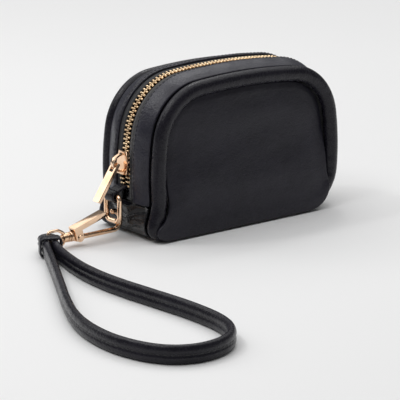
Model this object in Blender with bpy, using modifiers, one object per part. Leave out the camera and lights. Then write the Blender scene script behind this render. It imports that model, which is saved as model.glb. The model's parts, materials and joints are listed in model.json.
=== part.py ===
"""Small domed wristlet wallet: padded zip pouch, swivel clasp and rolled wrist strap.

The pouch stands on Z = 0 with its front towards -Y and its zip pull and ring at -X.
Sizes are in millimetres and are scaled to metres where each object is made.
"""
import math

import bmesh
import bpy
from mathutils import Matrix, Vector

MM = 0.001

# Clearances and leather
GAP = 0.3
PIN_CLEARANCE = 0.1
LEATHER = 1.2
LINING = 0.6

# Pouch outline, seen from the front
BODY_WIDTH = 120.0
BODY_HEIGHT = 78.5
WIDEST_HEIGHT = 30.3
CROWN_RADIUS = 311.0
SHOULDER_RADIUS = 31.0
SIDE_RADIUS = 134.0
FOOT_RADIUS = 22.3
LEFT_FOOT_RADIUS = 13.0
LEFT_FLARE = 7.0
LEFT_FLARE_TOP = 21.0

# Pouch depth: half the gusset, the rolled edges and the front and back panels
GUSSET_HALF_DEPTH = 16.2
ROLL_WIDTH = 7.8
ROLL_DEPTH = 6.8
ROLL_LEATHER = 1.1
PANEL_SEAT = 18.6
PANEL_BULGE = 6.2
PANEL_BULGE_TOP = 46.0
PANEL_TUCK_LOW = 4.0
PANEL_TUCK_HIGH = 26.0
PANEL_FOOT_INSET = 0.8
PANEL_MIDDLE_SHARE = 0.45
PANEL_RINGS = (1.0, 0.94, 0.86, 0.7, 0.4)
PADDING = 1.8
PADDING_INSET = 9.2
LINING_INSET = 4.2
LINING_SEAT = 14.3

# Zip: chain, tapes, facings beside it and the height of its ends
CHAIN_RISE = 1.05
CHAIN_THICKNESS = 2.4
CHAIN_HALF_WIDTH = 2.55
TOOTH_PITCH = 4.0
TOOTH_REACH = 0.8
TAPE_THICKNESS = 0.5
TAPE_EDGE = 8.6
FACING_THICKNESS = 1.0
FACING_PROFILE = ((2.6, 6.6), (2.2, 9.5), (1.0, 13.0))
FACING_FOOT_DROP = 0.5
ARCH_LINING_PROFILE = ((-0.5, 5.0), (-0.9, 9.5), (-2.1, 14.0))
ZIP_END_HEIGHT = 21.0
TAPE_END_HEIGHT = 19.0
ZIP_STOP_LENGTH = 2.0
FACING_END_HEIGHT = 17.5
CHAIN_SPREAD = 1.3

# Zip slider and pull
SLIDER_HEIGHT = 37.0
SLIDER_LENGTH = 11.5
SLIDER_WIDE = 8.6
SLIDER_NARROW = 6.6
SLIDER_PLATE = 0.9
SLIDER_PLAY = 0.4
SLIDER_TILT = 5.0
SLIDER_POST_WIDTH = 1.6
SLIDER_POST_LENGTH = 3.0
BRIDGE_REACH = 5.6
BRIDGE_SHAPE = ((0.0, 4.55), (0.5, 3.75), (0.86, 2.35), (1.0, 0.35), (1.0, -1.0), (0.8, -2.9), (0.4, -4.0),
                (0.0, -4.4))
PULL_HANG = 1.9
PULL_HANG_DROP = 0.6
PULL_CORNER = 0.6
BRIDGE_WIDTH = 2.2
BRIDGE_THICKNESS = 1.0
PULL_LENGTH = 21.6
PULL_WIDTH = 5.4
PULL_THICKNESS = 1.7
PULL_END_BAR = 1.3
PULL_SLOT_LENGTH = 3.8
PULL_SLOT_WIDTH = 3.0
PULL_LEAN = 34.0

# Leather tab and D ring
RING_REACH = 9.0
RING_BAR_HEIGHT = 21.3
RING_DROP = 12.4
RING_WIDTH = 11.0
RING_WIRE = 1.3
RING_TOP_RADIUS = 1.8
RING_FOOT_RADIUS = 3.2
TAB_WIDTH = 7.2
TAB_THICKNESS = 1.3
TAB_SLACK = 0.15
TAB_REACH = 2.6
TAB_NEAR = (4.4, 3.2)
TAB_FAR = (3.2, 4.6)
TAB_FOOT_REACH = 2.4

# Clasp, measured from the middle of the ring's foot
HOOK_WIRE = 1.3
HOOK_RADIUS = 4.2
HOOK_RISE = 1.0
HOOK_TIP_ANGLE = 110.0
CLASP_PIN_REACH = 21.4
CLASP_PIN_DROP = 4.6
CLASP_TONGUE = 2.4
CLASP_TONGUE_RADIUS = 2.4
CLASP_WIDTH = 5.0
CLASP_HEAD_LENGTH = 1.3
CLASP_HEAD_HEIGHT = 5.0
CLASP_HEAD_REACH = 26.2
GATE_SLOPE = 17.0
GATE_WALL = 0.9
GATE_HEIGHT = 2.6
GATE_OFFSET = 3.2
GATE_BACK = 2.0
GATE_FRONT = 17.6
GATE_LUG_RADIUS = 2.2
PIN_RADIUS = 0.8
PIN_HEAD_RADIUS = 1.5
PIN_HEAD_LENGTH = 0.5
SPRING_THICKNESS = 0.3
SPRING_WIDTH = 1.4
SPRING_PATH = ((1.2, 3.0), (3.4, 3.6), (6.4, 4.9))

# Swivel eye
SWIVEL_HEIGHT = 5.1
COLLAR_RADIUS = 2.4
COLLAR_LENGTH = 4.0
POST_RADIUS = 0.9
POST_DEPTH = 0.8
POST_HEAD_RADIUS = 1.7
POST_HEAD_LENGTH = 0.7
EYE_WIRE = 0.8
EYE_LENGTH = 9.0
EYE_HEIGHT = 8.8
EYE_BAR_RADIUS = 1.5
EYE_NECK_RADIUS = 3.2

# Wrist strap: rolled band on edge, its fold round the eye and its keeper
STRAP_THICKNESS = 4.2
STRAP_HEIGHT = 8.2
STRAP_GROOVE = 1.4
FOLD_THICKNESS = 4.0
FOLD_HEIGHT = 5.8
KEEPER_STRAP_HEIGHT = 7.6
STRAP_LIFT = 0.05
STRAP_TURN = 62.7
FOLD_LENGTH = 6.0
KEEPER_LENGTH = 6.4
KEEPER_THICKNESS = 0.9
STRAP_EXIT = 14.0
STRAP_ROUTE = (
    (-9.5, -29.5), (-13.5, -47.5), (-15.1, -65), (-14.7, -82), (-13.1, -100), (-11.5, -118), (-11.1, -132),
    (-12.1, -145), (-15.7, -156.5), (-22.7, -165), (-32.8, -169.4), (-43.8, -169.2), (-53.5, -163.6), (-59.7, -153),
    (-62.7, -138), (-61.5, -120.5), (-56.6, -103), (-47.7, -84), (-36.8, -64), (-24.8, -42),
)
STRAP_STEP = 6.0

# Card pocket inside the back
POCKET_WIDTH = 78.0
POCKET_FOOT = 8.0
POCKET_TOP = 50.0

# Places on the -X side that several pieces share
CHAIN_X = -(BODY_WIDTH / 2 + CHAIN_RISE)
RING_X = -(BODY_WIDTH / 2 + RING_REACH)
RING_FOOT_Z = RING_BAR_HEIGHT - RING_DROP
PIN_X = RING_X - CLASP_PIN_REACH
PIN_Z = RING_FOOT_Z - CLASP_PIN_DROP
HEAD_X = RING_X - CLASP_HEAD_REACH
COLLAR_X = HEAD_X - GAP
EYE_NECK_X = COLLAR_X - COLLAR_LENGTH + EYE_WIRE
EYE_BAR_X = EYE_NECK_X - EYE_LENGTH


def clear_scene():
    """Remove every object of the opened file."""
    for old in list(bpy.data.objects):
        bpy.data.objects.remove(old)


def new_collection(name):
    """Make a collection under the scene."""
    group = bpy.data.collections.new(name)
    bpy.context.scene.collection.children.link(group)
    return group


def material(name, colour, roughness, metallic=0.0):
    """Make a Principled material."""
    made = bpy.data.materials.new(name)
    made.use_nodes = True
    shader = made.node_tree.nodes["Principled BSDF"]
    shader.inputs["Base Color"].default_value = (*colour, 1.0)
    shader.inputs["Roughness"].default_value = roughness
    shader.inputs["Metallic"].default_value = metallic
    return made


def add(name, data, finish, parent=None, location=(0.0, 0.0, 0.0), rotation=(0.0, 0.0, 0.0)):
    """Link a part, with its place in world millimetres, under its joint's empty if it has one."""
    made = bpy.data.objects.new(name, data)
    data.materials.append(finish)
    PARTS.objects.link(made)
    place = Vector(location) * MM
    if parent:
        made.parent = parent
        place -= parent.location
    made.location = place
    made.rotation_euler = [math.radians(angle) for angle in rotation]
    return made


def guide(name, data, location=(0.0, 0.0, 0.0), rotation=(0.0, 0.0, 0.0)):
    """Link a helper shape that is never rendered."""
    made = bpy.data.objects.new(name, data)
    GUIDES.objects.link(made)
    made.location = Vector(location) * MM
    made.rotation_euler = [math.radians(angle) for angle in rotation]
    made.hide_render = True
    made.display_type = "WIRE"
    return made


def joint_empty(name, location):
    """Make the empty that stands on a joint's axis."""
    made = bpy.data.objects.new(name, None)
    PARTS.objects.link(made)
    made.location = Vector(location) * MM
    return made


def spline(curve, points, cyclic):
    """Add a straight-sided spline through points in millimetres."""
    made = curve.splines.new("POLY")
    made.points.add(len(points) - 1)
    for target, point in zip(made.points, points):
        target.co = (*(Vector(point).to_3d() * MM), 1.0)
    made.use_cyclic_u = cyclic


def flat_curve(name, loops, half_thickness=0.0, cyclic=True):
    """Make a 2D curve, filled and extruded where it has a thickness."""
    curve = bpy.data.curves.new(name, "CURVE")
    curve.dimensions = "2D"
    curve.fill_mode = "BOTH" if half_thickness else "NONE"
    curve.extrude = half_thickness * MM
    for loop in loops:
        spline(curve, loop, cyclic)
    return curve


def clockwise(points):
    """Order a closed section so that a sweep along an anticlockwise path faces outwards."""
    area = sum(a[0] * b[1] - b[0] * a[1] for a, b in zip(points, points[1:] + points[:1]))
    return points if area < 0 else points[::-1]


def swept(name, path, section, cyclic):
    """Make a 2D path that carries a closed section (outward, sideways)."""
    if cyclic:
        # A closed flat path is walked clockwise, so outward changes sides.
        section = [(-outward, sideways) for outward, sideways in section]
    profile = guide(name + "_section", flat_curve(name + "_section", [clockwise(list(section))]))
    curve = flat_curve(name, [path], cyclic=cyclic)
    curve.bevel_mode = "OBJECT"
    curve.bevel_object = profile
    curve.use_fill_caps = not cyclic
    return curve


def wire(name, points, radius, cyclic=False, sides=2):
    """Make a round wire along flat points."""
    curve = flat_curve(name, [points], cyclic=cyclic)
    curve.dimensions = "3D"
    curve.twist_mode = "Z_UP"
    curve.fill_mode = "FULL"
    curve.bevel_depth = radius * MM
    curve.bevel_resolution = sides
    curve.use_fill_caps = not cyclic
    return curve


def solid(data, location=(0.0, 0.0, 0.0), rotation=(0.0, 0.0, 0.0)):
    """Turn a curve into a mesh standing at its place in world coordinates."""
    source = guide(data.name + "_source", data, location, rotation)
    bpy.context.view_layer.update()
    shape = source.evaluated_get(bpy.context.evaluated_depsgraph_get())
    mesh = bpy.data.meshes.new_from_object(shape)
    mesh.transform(source.matrix_world)
    bpy.data.objects.remove(source)
    return merged(mesh)


def merged(mesh):
    """Join the doubled corners that caps leave."""
    shape = bmesh.new()
    shape.from_mesh(mesh)
    bmesh.ops.remove_doubles(shape, verts=shape.verts, dist=1e-3 * MM)
    bmesh.ops.recalc_face_normals(shape, faces=shape.faces)
    shape.to_mesh(mesh)
    shape.free()
    return mesh


def block(name, size, centre):
    """Make a box mesh in world coordinates."""
    shape = bmesh.new()
    bmesh.ops.create_cube(shape, size=1.0)
    bmesh.ops.scale(shape, vec=Vector(size) * MM, verts=shape.verts)
    bmesh.ops.translate(shape, vec=Vector(centre) * MM, verts=shape.verts)
    mesh = bpy.data.meshes.new(name)
    shape.to_mesh(mesh)
    shape.free()
    return mesh


def rod(name, radius, length, centre, axis="Y", segments=16):
    """Make a cylinder mesh in world coordinates along X, Y or Z."""
    turn = {"X": Matrix.Rotation(math.pi / 2, 3, "Y"), "Y": Matrix.Rotation(math.pi / 2, 3, "X"),
            "Z": Matrix.Identity(3)}[axis]
    shape = bmesh.new()
    bmesh.ops.create_cone(shape, cap_ends=True, segments=segments, radius1=radius * MM, radius2=radius * MM,
                          depth=length * MM)
    bmesh.ops.rotate(shape, cent=(0, 0, 0), matrix=turn, verts=shape.verts)
    bmesh.ops.translate(shape, vec=Vector(centre) * MM, verts=shape.verts)
    mesh = bpy.data.meshes.new(name)
    shape.to_mesh(mesh)
    shape.free()
    return mesh


def cut_or_join(target, mesh, operation):
    """Apply a world-placed mesh to a part as a live exact Boolean."""
    tool = guide(mesh.name, mesh)
    boolean = target.modifiers.new(mesh.name, "BOOLEAN")
    boolean.operation = operation
    boolean.solver = "EXACT"
    boolean.object = tool


def arc(centre, radius, start, end, steps):
    """Points on an arc, angles in degrees."""
    angles = [math.radians(start + (end - start) * step / steps) for step in range(steps + 1)]
    return [(centre[0] + radius * math.cos(angle), centre[1] + radius * math.sin(angle)) for angle in angles]


def rectangle(width, height, centre=(0.0, 0.0)):
    """Anticlockwise rectangle."""
    return [(centre[0] + x * width / 2, centre[1] + z * height / 2) for x, z in ((-1, -1), (1, -1), (1, 1), (-1, 1))]


def rounded_rectangle(width, height, radii, centre=(0.0, 0.0), steps=4):
    """Anticlockwise rounded rectangle; radii are those of the lower and the upper corners."""
    points = []
    for quarter, (side_x, side_y) in enumerate(((1, -1), (1, 1), (-1, 1), (-1, -1))):
        radius = radii[0] if side_y < 0 else radii[1]
        corner = (centre[0] + side_x * (width / 2 - radius), centre[1] + side_y * (height / 2 - radius))
        points += arc(corner, radius, -90 + 90 * quarter, 90 * quarter, steps)
    return points


def smooth(value, low, high):
    """Ease from 0 at low to 1 at high."""
    share = max(0.0, min(1.0, (value - low) / (high - low)))
    return share * share * (3 - 2 * share)


def outline_centres(foot_radius=FOOT_RADIUS):
    """Centres and joining angles of the arcs on one half of the pouch outline."""
    crown = Vector((0.0, BODY_HEIGHT - CROWN_RADIUS))
    side = Vector((BODY_WIDTH / 2 - SIDE_RADIUS, WIDEST_HEIGHT))
    apart = side - crown
    to_crown = CROWN_RADIUS - SHOULDER_RADIUS
    to_side = SIDE_RADIUS - SHOULDER_RADIUS
    along = (to_crown ** 2 - to_side ** 2 + apart.length_squared) / (2 * apart.length)
    across = math.sqrt(to_crown ** 2 - along ** 2)
    unit = apart.normalized()
    shoulder = crown + unit * along + Vector((unit.y, -unit.x)) * across
    reach = math.sqrt((SIDE_RADIUS - foot_radius) ** 2 - (foot_radius - WIDEST_HEIGHT) ** 2)
    foot = Vector((side.x + reach, foot_radius))

    def bearing(start, end):
        return math.degrees(math.atan2(end.y - start.y, end.x - start.x))

    return crown, side, shoulder, foot, (bearing(side, foot), bearing(side, shoulder), bearing(crown, shoulder))


def half_outline(grow, foot_radius):
    """Right half of the outline from the middle of the base to the top, moved outwards by grow."""
    crown, side, shoulder, foot, (low, high, top) = outline_centres(foot_radius)
    half = [(0.0, -grow)]
    half += arc(foot, foot_radius + grow, -90, low, 6)
    half += arc(side, SIDE_RADIUS + grow, low, high, 4)[1:]
    half += arc(shoulder, SHOULDER_RADIUS + grow, high, top, 8)[1:]
    return half + arc(crown, CROWN_RADIUS + grow, top, 90, 4)[1:]


def pouch_outline(grow=0.0):
    """Anticlockwise outline of the pouch; its left foot is tighter and flares outwards."""
    left = [(-x - LEFT_FLARE * (1 - smooth(z, 0.0, LEFT_FLARE_TOP)), z)
            for x, z in half_outline(grow, LEFT_FOOT_RADIUS)[-2:0:-1]]
    return half_outline(grow, FOOT_RADIUS) + left


def cross_height(first, second, height):
    """Point at a height on the line through two points."""
    share = (height - first[1]) / (second[1] - first[1])
    return (first[0] + (second[0] - first[0]) * share, height)


def arch(grow, floor):
    """The outline above a height, from the right end over the crown to the left end."""
    loop = pouch_outline(grow)
    keep = [index for index, point in enumerate(loop) if point[1] > floor]
    first, last = keep[0], keep[-1]
    start = cross_height(loop[first - 1], loop[first], floor)
    end = cross_height(loop[last], loop[last + 1], floor)
    return [start] + loop[first:last + 1] + [end]


def trough(grow, ceiling):
    """The outline below a height, from the left end under the base to the right end."""
    loop = pouch_outline(grow)
    left = next(i for i in range(len(loop) // 2, len(loop)) if loop[i][1] < ceiling)
    right = next(i for i in range(len(loop)) if loop[i][1] > ceiling)
    start = cross_height(loop[left - 1], loop[left], ceiling)
    end = cross_height(loop[right - 1], loop[right], ceiling)
    return [start] + loop[left:] + loop[:right] + [end]


def inset_of(point, loop):
    """Distance from a point to the nearest side of a closed loop."""
    best = math.inf
    for a, b in zip(loop, loop[1:] + loop[:1]):
        start, side = Vector(a), Vector(b) - Vector(a)
        share = max(0.0, min(1.0, (Vector(point) - start).dot(side) / side.length_squared))
        best = min(best, (start + side * share - Vector(point)).length)
    return best


def roll_centre():
    """Depth of the middle of a rolled edge."""
    return GUSSET_HALF_DEPTH + GAP + ROLL_DEPTH / 2


def panel_depth(point, loop):
    """Depth of a panel's outer face: sunk behind the roll above, full and over the roll at the foot."""
    depth = PANEL_SEAT + PANEL_BULGE * (1 - smooth(point[1], 0.0, PANEL_BULGE_TOP))
    over_roll = roll_centre() + ROLL_DEPTH / 2 + 2 * GAP + LEATHER
    low = 1 - smooth(point[1], PANEL_TUCK_HIGH, PANEL_TUCK_HIGH + ROLL_WIDTH)
    near = 1 - smooth(inset_of(point, loop), ROLL_WIDTH + LEATHER, 2 * ROLL_WIDTH)
    return max(depth, depth + (over_roll - depth) * low * near)


def panel_inset(height):
    """How far a panel's edge lies inside the pouch outline at a height."""
    inner = ROLL_WIDTH + GAP
    return PANEL_FOOT_INSET + (inner - PANEL_FOOT_INSET) * smooth(height, PANEL_TUCK_LOW, PANEL_TUCK_HIGH)


def panel(name, facing):
    """Leather panel: rings of points from its edge to its middle, given its leather by Solidify."""
    loop = pouch_outline()
    edge = []
    for index, point in enumerate(loop):
        ahead, behind = Vector(loop[(index + 1) % len(loop)]), Vector(loop[index - 1])
        along = (ahead - behind).normalized()
        edge.append(Vector(point) + Vector((-along.y, along.x)) * panel_inset(point[1]))
    middle = Vector((0.0, BODY_HEIGHT * PANEL_MIDDLE_SHARE))
    shape = bmesh.new()
    previous = None
    for share in PANEL_RINGS:
        ring = [middle + (point - middle) * share for point in edge]
        verts = [shape.verts.new(Vector((p.x, -facing * panel_depth(p, loop), p.y)) * MM) for p in ring]
        edges = [shape.edges.new(pair) for pair in zip(verts, verts[1:] + verts[:1])]
        if previous:
            bmesh.ops.bridge_loops(shape, edges=previous + edges)
        previous = edges
    bmesh.ops.edgeloop_fill(shape, edges=previous)
    bmesh.ops.triangulate(shape, faces=[face for face in shape.faces if len(face.verts) > 4])
    bmesh.ops.recalc_face_normals(shape, faces=shape.faces)
    outward = sum(face.normal.y * face.calc_area() for face in shape.faces)
    if outward * facing > 0:
        bmesh.ops.reverse_faces(shape, faces=shape.faces)
    mesh = bpy.data.meshes.new(name)
    shape.to_mesh(mesh)
    shape.free()
    made = add(name, mesh, LEATHER_FINISH)
    wall = made.modifiers.new("leather", "SOLIDIFY")
    wall.thickness = LEATHER * MM
    wall.offset = -1.0


def face_sheet(name, facing, seat, thickness, inset, finish):
    """Flat sheet parallel to the front or back."""
    curve = flat_curve(name, [pouch_outline(-inset)], thickness / 2)
    add(name, curve, finish, location=(0, -facing * (seat + thickness / 2), 0), rotation=(90, 0, 0))


def roll_section(facing):
    """C-shaped leather section of a rolled edge, open towards the seam."""
    slit = 10.0
    mouth = 225.0
    turn = (mouth + slit, mouth + 360.0 - slit)
    section = []
    for wall, (start, end) in ((0.0, turn), (ROLL_LEATHER, turn[::-1])):
        ring = arc((0, 0), 1.0, start, end, 11)
        section += [(x * (ROLL_WIDTH / 2 - wall), y * (ROLL_DEPTH / 2 - wall)) for x, y in ring]
    return [(x - ROLL_WIDTH / 2, facing * (y + roll_centre())) for x, y in section]


def upright(name, curve, finish, parent=None, depth=0.0):
    """Add a curve whose flat side stands in the XZ plane."""
    return add(name, curve, finish, parent, location=(0, depth, 0), rotation=(90, 0, 0))


def strip_section(outer, thickness, facing=1.0):
    """Section of a strip from its outer face points (outward, sideways)."""
    inner = [(rise - thickness, side) for rise, side in reversed(outer)]
    return [(rise, facing * side) for rise, side in list(outer) + inner]


def loft(name, rings):
    """Skin between unlike closed sections given in world millimetres, with flat ends."""
    shape = bmesh.new()
    loops = [[shape.verts.new(Vector(point) * MM) for point in ring] for ring in rings]
    for first, second in zip(loops, loops[1:]):
        for index in range(len(first)):
            after = (index + 1) % len(first)
            shape.faces.new((first[index], first[after], second[after], second[index]))
    shape.faces.new(loops[0][::-1])
    shape.faces.new(loops[-1])
    bmesh.ops.recalc_face_normals(shape, faces=shape.faces)
    mesh = bpy.data.meshes.new(name)
    shape.to_mesh(mesh)
    shape.free()
    return mesh


def walk(path, step):
    """Points and directions at even steps along a flat path."""
    vectors = [Vector(point) for point in path]
    lengths = [(b - a).length for a, b in zip(vectors, vectors[1:])]
    count = max(2, round(sum(lengths) / step))
    stride = sum(lengths) / count
    stations, travelled, leg = [], 0.0, 0
    for index in range(count + 1):
        target = index * stride
        while leg < len(lengths) - 1 and travelled + lengths[leg] < target:
            travelled += lengths[leg]
            leg += 1
        along = (vectors[leg + 1] - vectors[leg]).normalized()
        stations.append((vectors[leg] + along * (target - travelled), along))
    return stations


def teeth_row(name, facing):
    """Row of teeth as a zigzag bar; its lower left end stands apart for the slider's post."""
    rings = []
    for index, (point, along) in enumerate(walk(arch(CHAIN_RISE, ZIP_END_HEIGHT), TOOTH_PITCH / 2)):
        outward = Vector((along.y, -along.x))
        spread = CHAIN_SPREAD if point.x < 0 and point.y < SLIDER_HEIGHT else GAP / 2
        reach = TOOTH_REACH if index % 2 else -TOOTH_REACH
        inner = facing * spread + (reach if spread < CHAIN_SPREAD else 0.0)
        ring = []
        for rise, side in ((-1, inner), (1, inner), (1, facing * CHAIN_HALF_WIDTH), (-1, facing * CHAIN_HALF_WIDTH)):
            place = point + outward * rise * CHAIN_THICKNESS / 2
            ring.append((place.x, -side, place.y))
        rings.append(ring)
    add(name, loft(name, rings), METAL_FINISH)


def build_face(side, facing):
    """Front or back of the pouch: panel, padding, lining, roll, facing, tape and teeth."""
    panel(side + "_panel", facing)
    face_sheet(side + "_padding", facing, PANEL_SEAT - LEATHER - GAP - PADDING, PADDING, PADDING_INSET,
               FOAM_FINISH)
    face_sheet(side + "_lining", facing, LINING_SEAT, LINING, LINING_INSET, LINING_FINISH)
    upright(side + "_roll", swept(side + "_roll", pouch_outline(), roll_section(facing), True), LEATHER_FINISH)
    cord_radius = min(ROLL_WIDTH, ROLL_DEPTH) / 2 - ROLL_LEATHER - 2 * GAP
    cord = wire(side + "_roll_cord", pouch_outline(-ROLL_WIDTH / 2), cord_radius, True, 1)
    upright(side + "_roll_cord", cord, CORD_FINISH, depth=-facing * roll_centre())
    foot = (-FACING_FOOT_DROP, GUSSET_HALF_DEPTH)
    facing_path = arch(0.0, FACING_END_HEIGHT)
    section = strip_section(list(FACING_PROFILE) + [foot], FACING_THICKNESS, facing)
    upright(side + "_facing", swept(side + "_facing", facing_path, section, False), LEATHER_FINISH)
    lining = strip_section(ARCH_LINING_PROFILE, LINING, facing)
    upright(side + "_arch_lining", swept(side + "_arch_lining", facing_path, lining, False), LINING_FINISH)
    tape_top = CHAIN_RISE + TAPE_THICKNESS / 2
    tape = strip_section([(tape_top, CHAIN_HALF_WIDTH + GAP), (tape_top, TAPE_EDGE)], TAPE_THICKNESS, facing)
    upright(side + "_tape", swept(side + "_tape", arch(0.0, TAPE_END_HEIGHT), tape, False), TAPE_FINISH)
    teeth_row(side + "_teeth", facing)


def build_gusset():
    """Strip under the pouch and up to the zip ends, with its lining, the zip's far stop and a card pocket."""
    path = trough(0.0, FACING_END_HEIGHT - GAP)
    outer = [(0.0, -GUSSET_HALF_DEPTH), (0.0, GUSSET_HALF_DEPTH)]
    upright("lower_gusset", swept("lower_gusset", path, strip_section(outer, LEATHER), False), LEATHER_FINISH)
    level = -(LEATHER + GAP)
    inner = [(level, -(LINING_SEAT - GAP)), (level, LINING_SEAT - GAP)]
    upright("gusset_lining", swept("gusset_lining", path, strip_section(inner, LINING), False), LINING_FINISH)
    stop = block("zip_stop", (CHAIN_THICKNESS, 2 * CHAIN_HALF_WIDTH, ZIP_STOP_LENGTH),
                 (-CHAIN_X - GAP, 0, ZIP_END_HEIGHT - ZIP_STOP_LENGTH / 2 - GAP))
    add("zip_stop", stop, METAL_FINISH)
    pocket = flat_curve("card_pocket", [rectangle(POCKET_WIDTH, POCKET_TOP - POCKET_FOOT,
                                                  (0.0, (POCKET_TOP + POCKET_FOOT) / 2))], LINING / 2)
    upright("card_pocket", pocket, LINING_FINISH, depth=LINING_SEAT - GAP - LINING / 2)


def slide_centre():
    """Centre of the circle through the chain at the slider, the shoulder's middle and its top."""
    side, shoulder, angles = outline_centres()[1], outline_centres()[2], outline_centres()[4]
    drop = SLIDER_HEIGHT - side.y
    first = Vector((-(side.x + math.sqrt((SIDE_RADIUS + CHAIN_RISE) ** 2 - drop ** 2)), SLIDER_HEIGHT))
    reach = SHOULDER_RADIUS + CHAIN_RISE
    others = []
    for bearing in (135.0, 180.0 - angles[2] + 12.0):
        turn = math.radians(bearing)
        others.append(Vector((-shoulder.x + reach * math.cos(turn), shoulder.y + reach * math.sin(turn))))
    second, third = others
    # Equal distance to the three points gives two straight-line equations in the centre.
    a1, a2 = second - first, third - second
    b1 = (second.length_squared - first.length_squared) / 2
    b2 = (third.length_squared - second.length_squared) / 2
    share = a1.x * a2.y - a1.y * a2.x
    return Vector(((b1 * a2.y - b2 * a1.y) / share, (a1.x * b2 - a2.x * b1) / share)), first


def build_slider():
    """Slider body on its hinge empty, and the pull on the bridge."""
    centre, seat = slide_centre()
    hinge = joint_empty("slide_axis", (centre.x, 0, centre.y))
    face = CHAIN_THICKNESS / 2 + SLIDER_PLAY
    half = SLIDER_LENGTH / 2
    turn = Matrix.Rotation(math.radians(SLIDER_TILT), 4, "Y")
    place = Matrix.Translation(Vector((seat.x, 0, seat.y)) * MM) @ turn

    def put(mesh):
        """Tilt a piece made about the slider's own middle into place."""
        mesh.transform(place)
        return mesh

    outer = [(-SLIDER_WIDE / 2, -half), (SLIDER_WIDE / 2, -half), (SLIDER_WIDE / 2, 0.0),
             (SLIDER_NARROW / 2, half), (-SLIDER_NARROW / 2, half), (-SLIDER_WIDE / 2, 0.0)]
    plates = []
    for name, side in (("zip_slider", -1), ("slider_inner_plate", 1)):
        plate = flat_curve(name, [outer], SLIDER_PLATE / 2)
        plates.append(put(solid(plate, (side * (face + SLIDER_PLATE / 2), 0, 0), (90, 0, 90))))
    made = add("zip_slider", plates[0], METAL_FINISH, hinge, location=(0, 0, 0))
    cut_or_join(made, plates[1], "UNION")
    post = block("slider_post", (2 * face + SLIDER_PLATE, SLIDER_POST_WIDTH, SLIDER_POST_LENGTH),
                 (0, 0, -half + GAP + SLIDER_POST_LENGTH / 2))
    cut_or_join(made, put(post), "UNION")
    level = -(face + SLIDER_PLATE / 2)
    reach = BRIDGE_REACH + SLIDER_PLATE / 2
    path = [(level - share * reach, height) for share, height in BRIDGE_SHAPE]
    section = rectangle(BRIDGE_THICKNESS, BRIDGE_WIDTH)
    bridge = swept("slider_bridge", path, section, False)
    cut_or_join(made, put(solid(bridge, rotation=(90, 0, 0))), "UNION")
    build_pull(place @ Vector(((level - reach + PULL_HANG) * MM, 0, -PULL_HANG_DROP * MM)), hinge)


def build_pull(hang, slider_hinge):
    """Flat pull whose end bar hangs inside the slider's bridge."""
    hinge = joint_empty("pull_axis", hang / MM)
    hinge.parent = slider_hinge
    hinge.location = hang - slider_hinge.location
    top = PULL_END_BAR / 2
    outer = rounded_rectangle(PULL_WIDTH, PULL_LENGTH, (PULL_CORNER, PULL_CORNER), (0, top - PULL_LENGTH / 2), 1)
    slot = rectangle(PULL_SLOT_WIDTH, PULL_SLOT_LENGTH, (0, -top - PULL_SLOT_LENGTH / 2))
    made = add("zip_pull", flat_curve("zip_pull", [outer, slot[::-1]], PULL_THICKNESS / 2), METAL_FINISH)
    made.parent = hinge
    upright_turn = Matrix.Rotation(math.pi / 2, 3, "Z") @ Matrix.Rotation(math.pi / 2, 3, "X")
    made.rotation_euler = (Matrix.Rotation(math.radians(PULL_LEAN), 3, "Y") @ upright_turn).to_euler()


def build_ring():
    """Leather tab sewn at the zip's end, and the D ring that swings in it."""
    hinge = joint_empty("ring_axis", (RING_X, 0, RING_BAR_HEIGHT))
    radius = RING_WIRE + GAP + TAB_THICKNESS / 2 + TAB_SLACK
    root = -(BODY_WIDTH / 2 + CHAIN_RISE + CHAIN_THICKNESS / 2 + 2 * GAP)
    path = [(root, RING_BAR_HEIGHT + TAB_NEAR[0]), (RING_X + TAB_REACH, RING_BAR_HEIGHT + TAB_NEAR[1])]
    path += arc((RING_X, RING_BAR_HEIGHT), radius, 80, 280, 10)
    path += [(RING_X + TAB_REACH, RING_BAR_HEIGHT - TAB_FAR[0]),
             (-(BODY_WIDTH / 2 + TAB_FOOT_REACH), RING_BAR_HEIGHT - TAB_FAR[1])]
    section = rectangle(TAB_THICKNESS, TAB_WIDTH)
    upright("ring_tab", swept("ring_tab", path, section, False), LEATHER_FINISH)
    loop = rounded_rectangle(RING_WIDTH, RING_DROP, (RING_FOOT_RADIUS, RING_TOP_RADIUS), (0, -RING_DROP / 2))
    add("d_ring", wire("d_ring", loop, RING_WIRE, True), METAL_FINISH, hinge,
        location=(RING_X, 0, RING_BAR_HEIGHT), rotation=(90, 0, 90))
    return hinge


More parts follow.
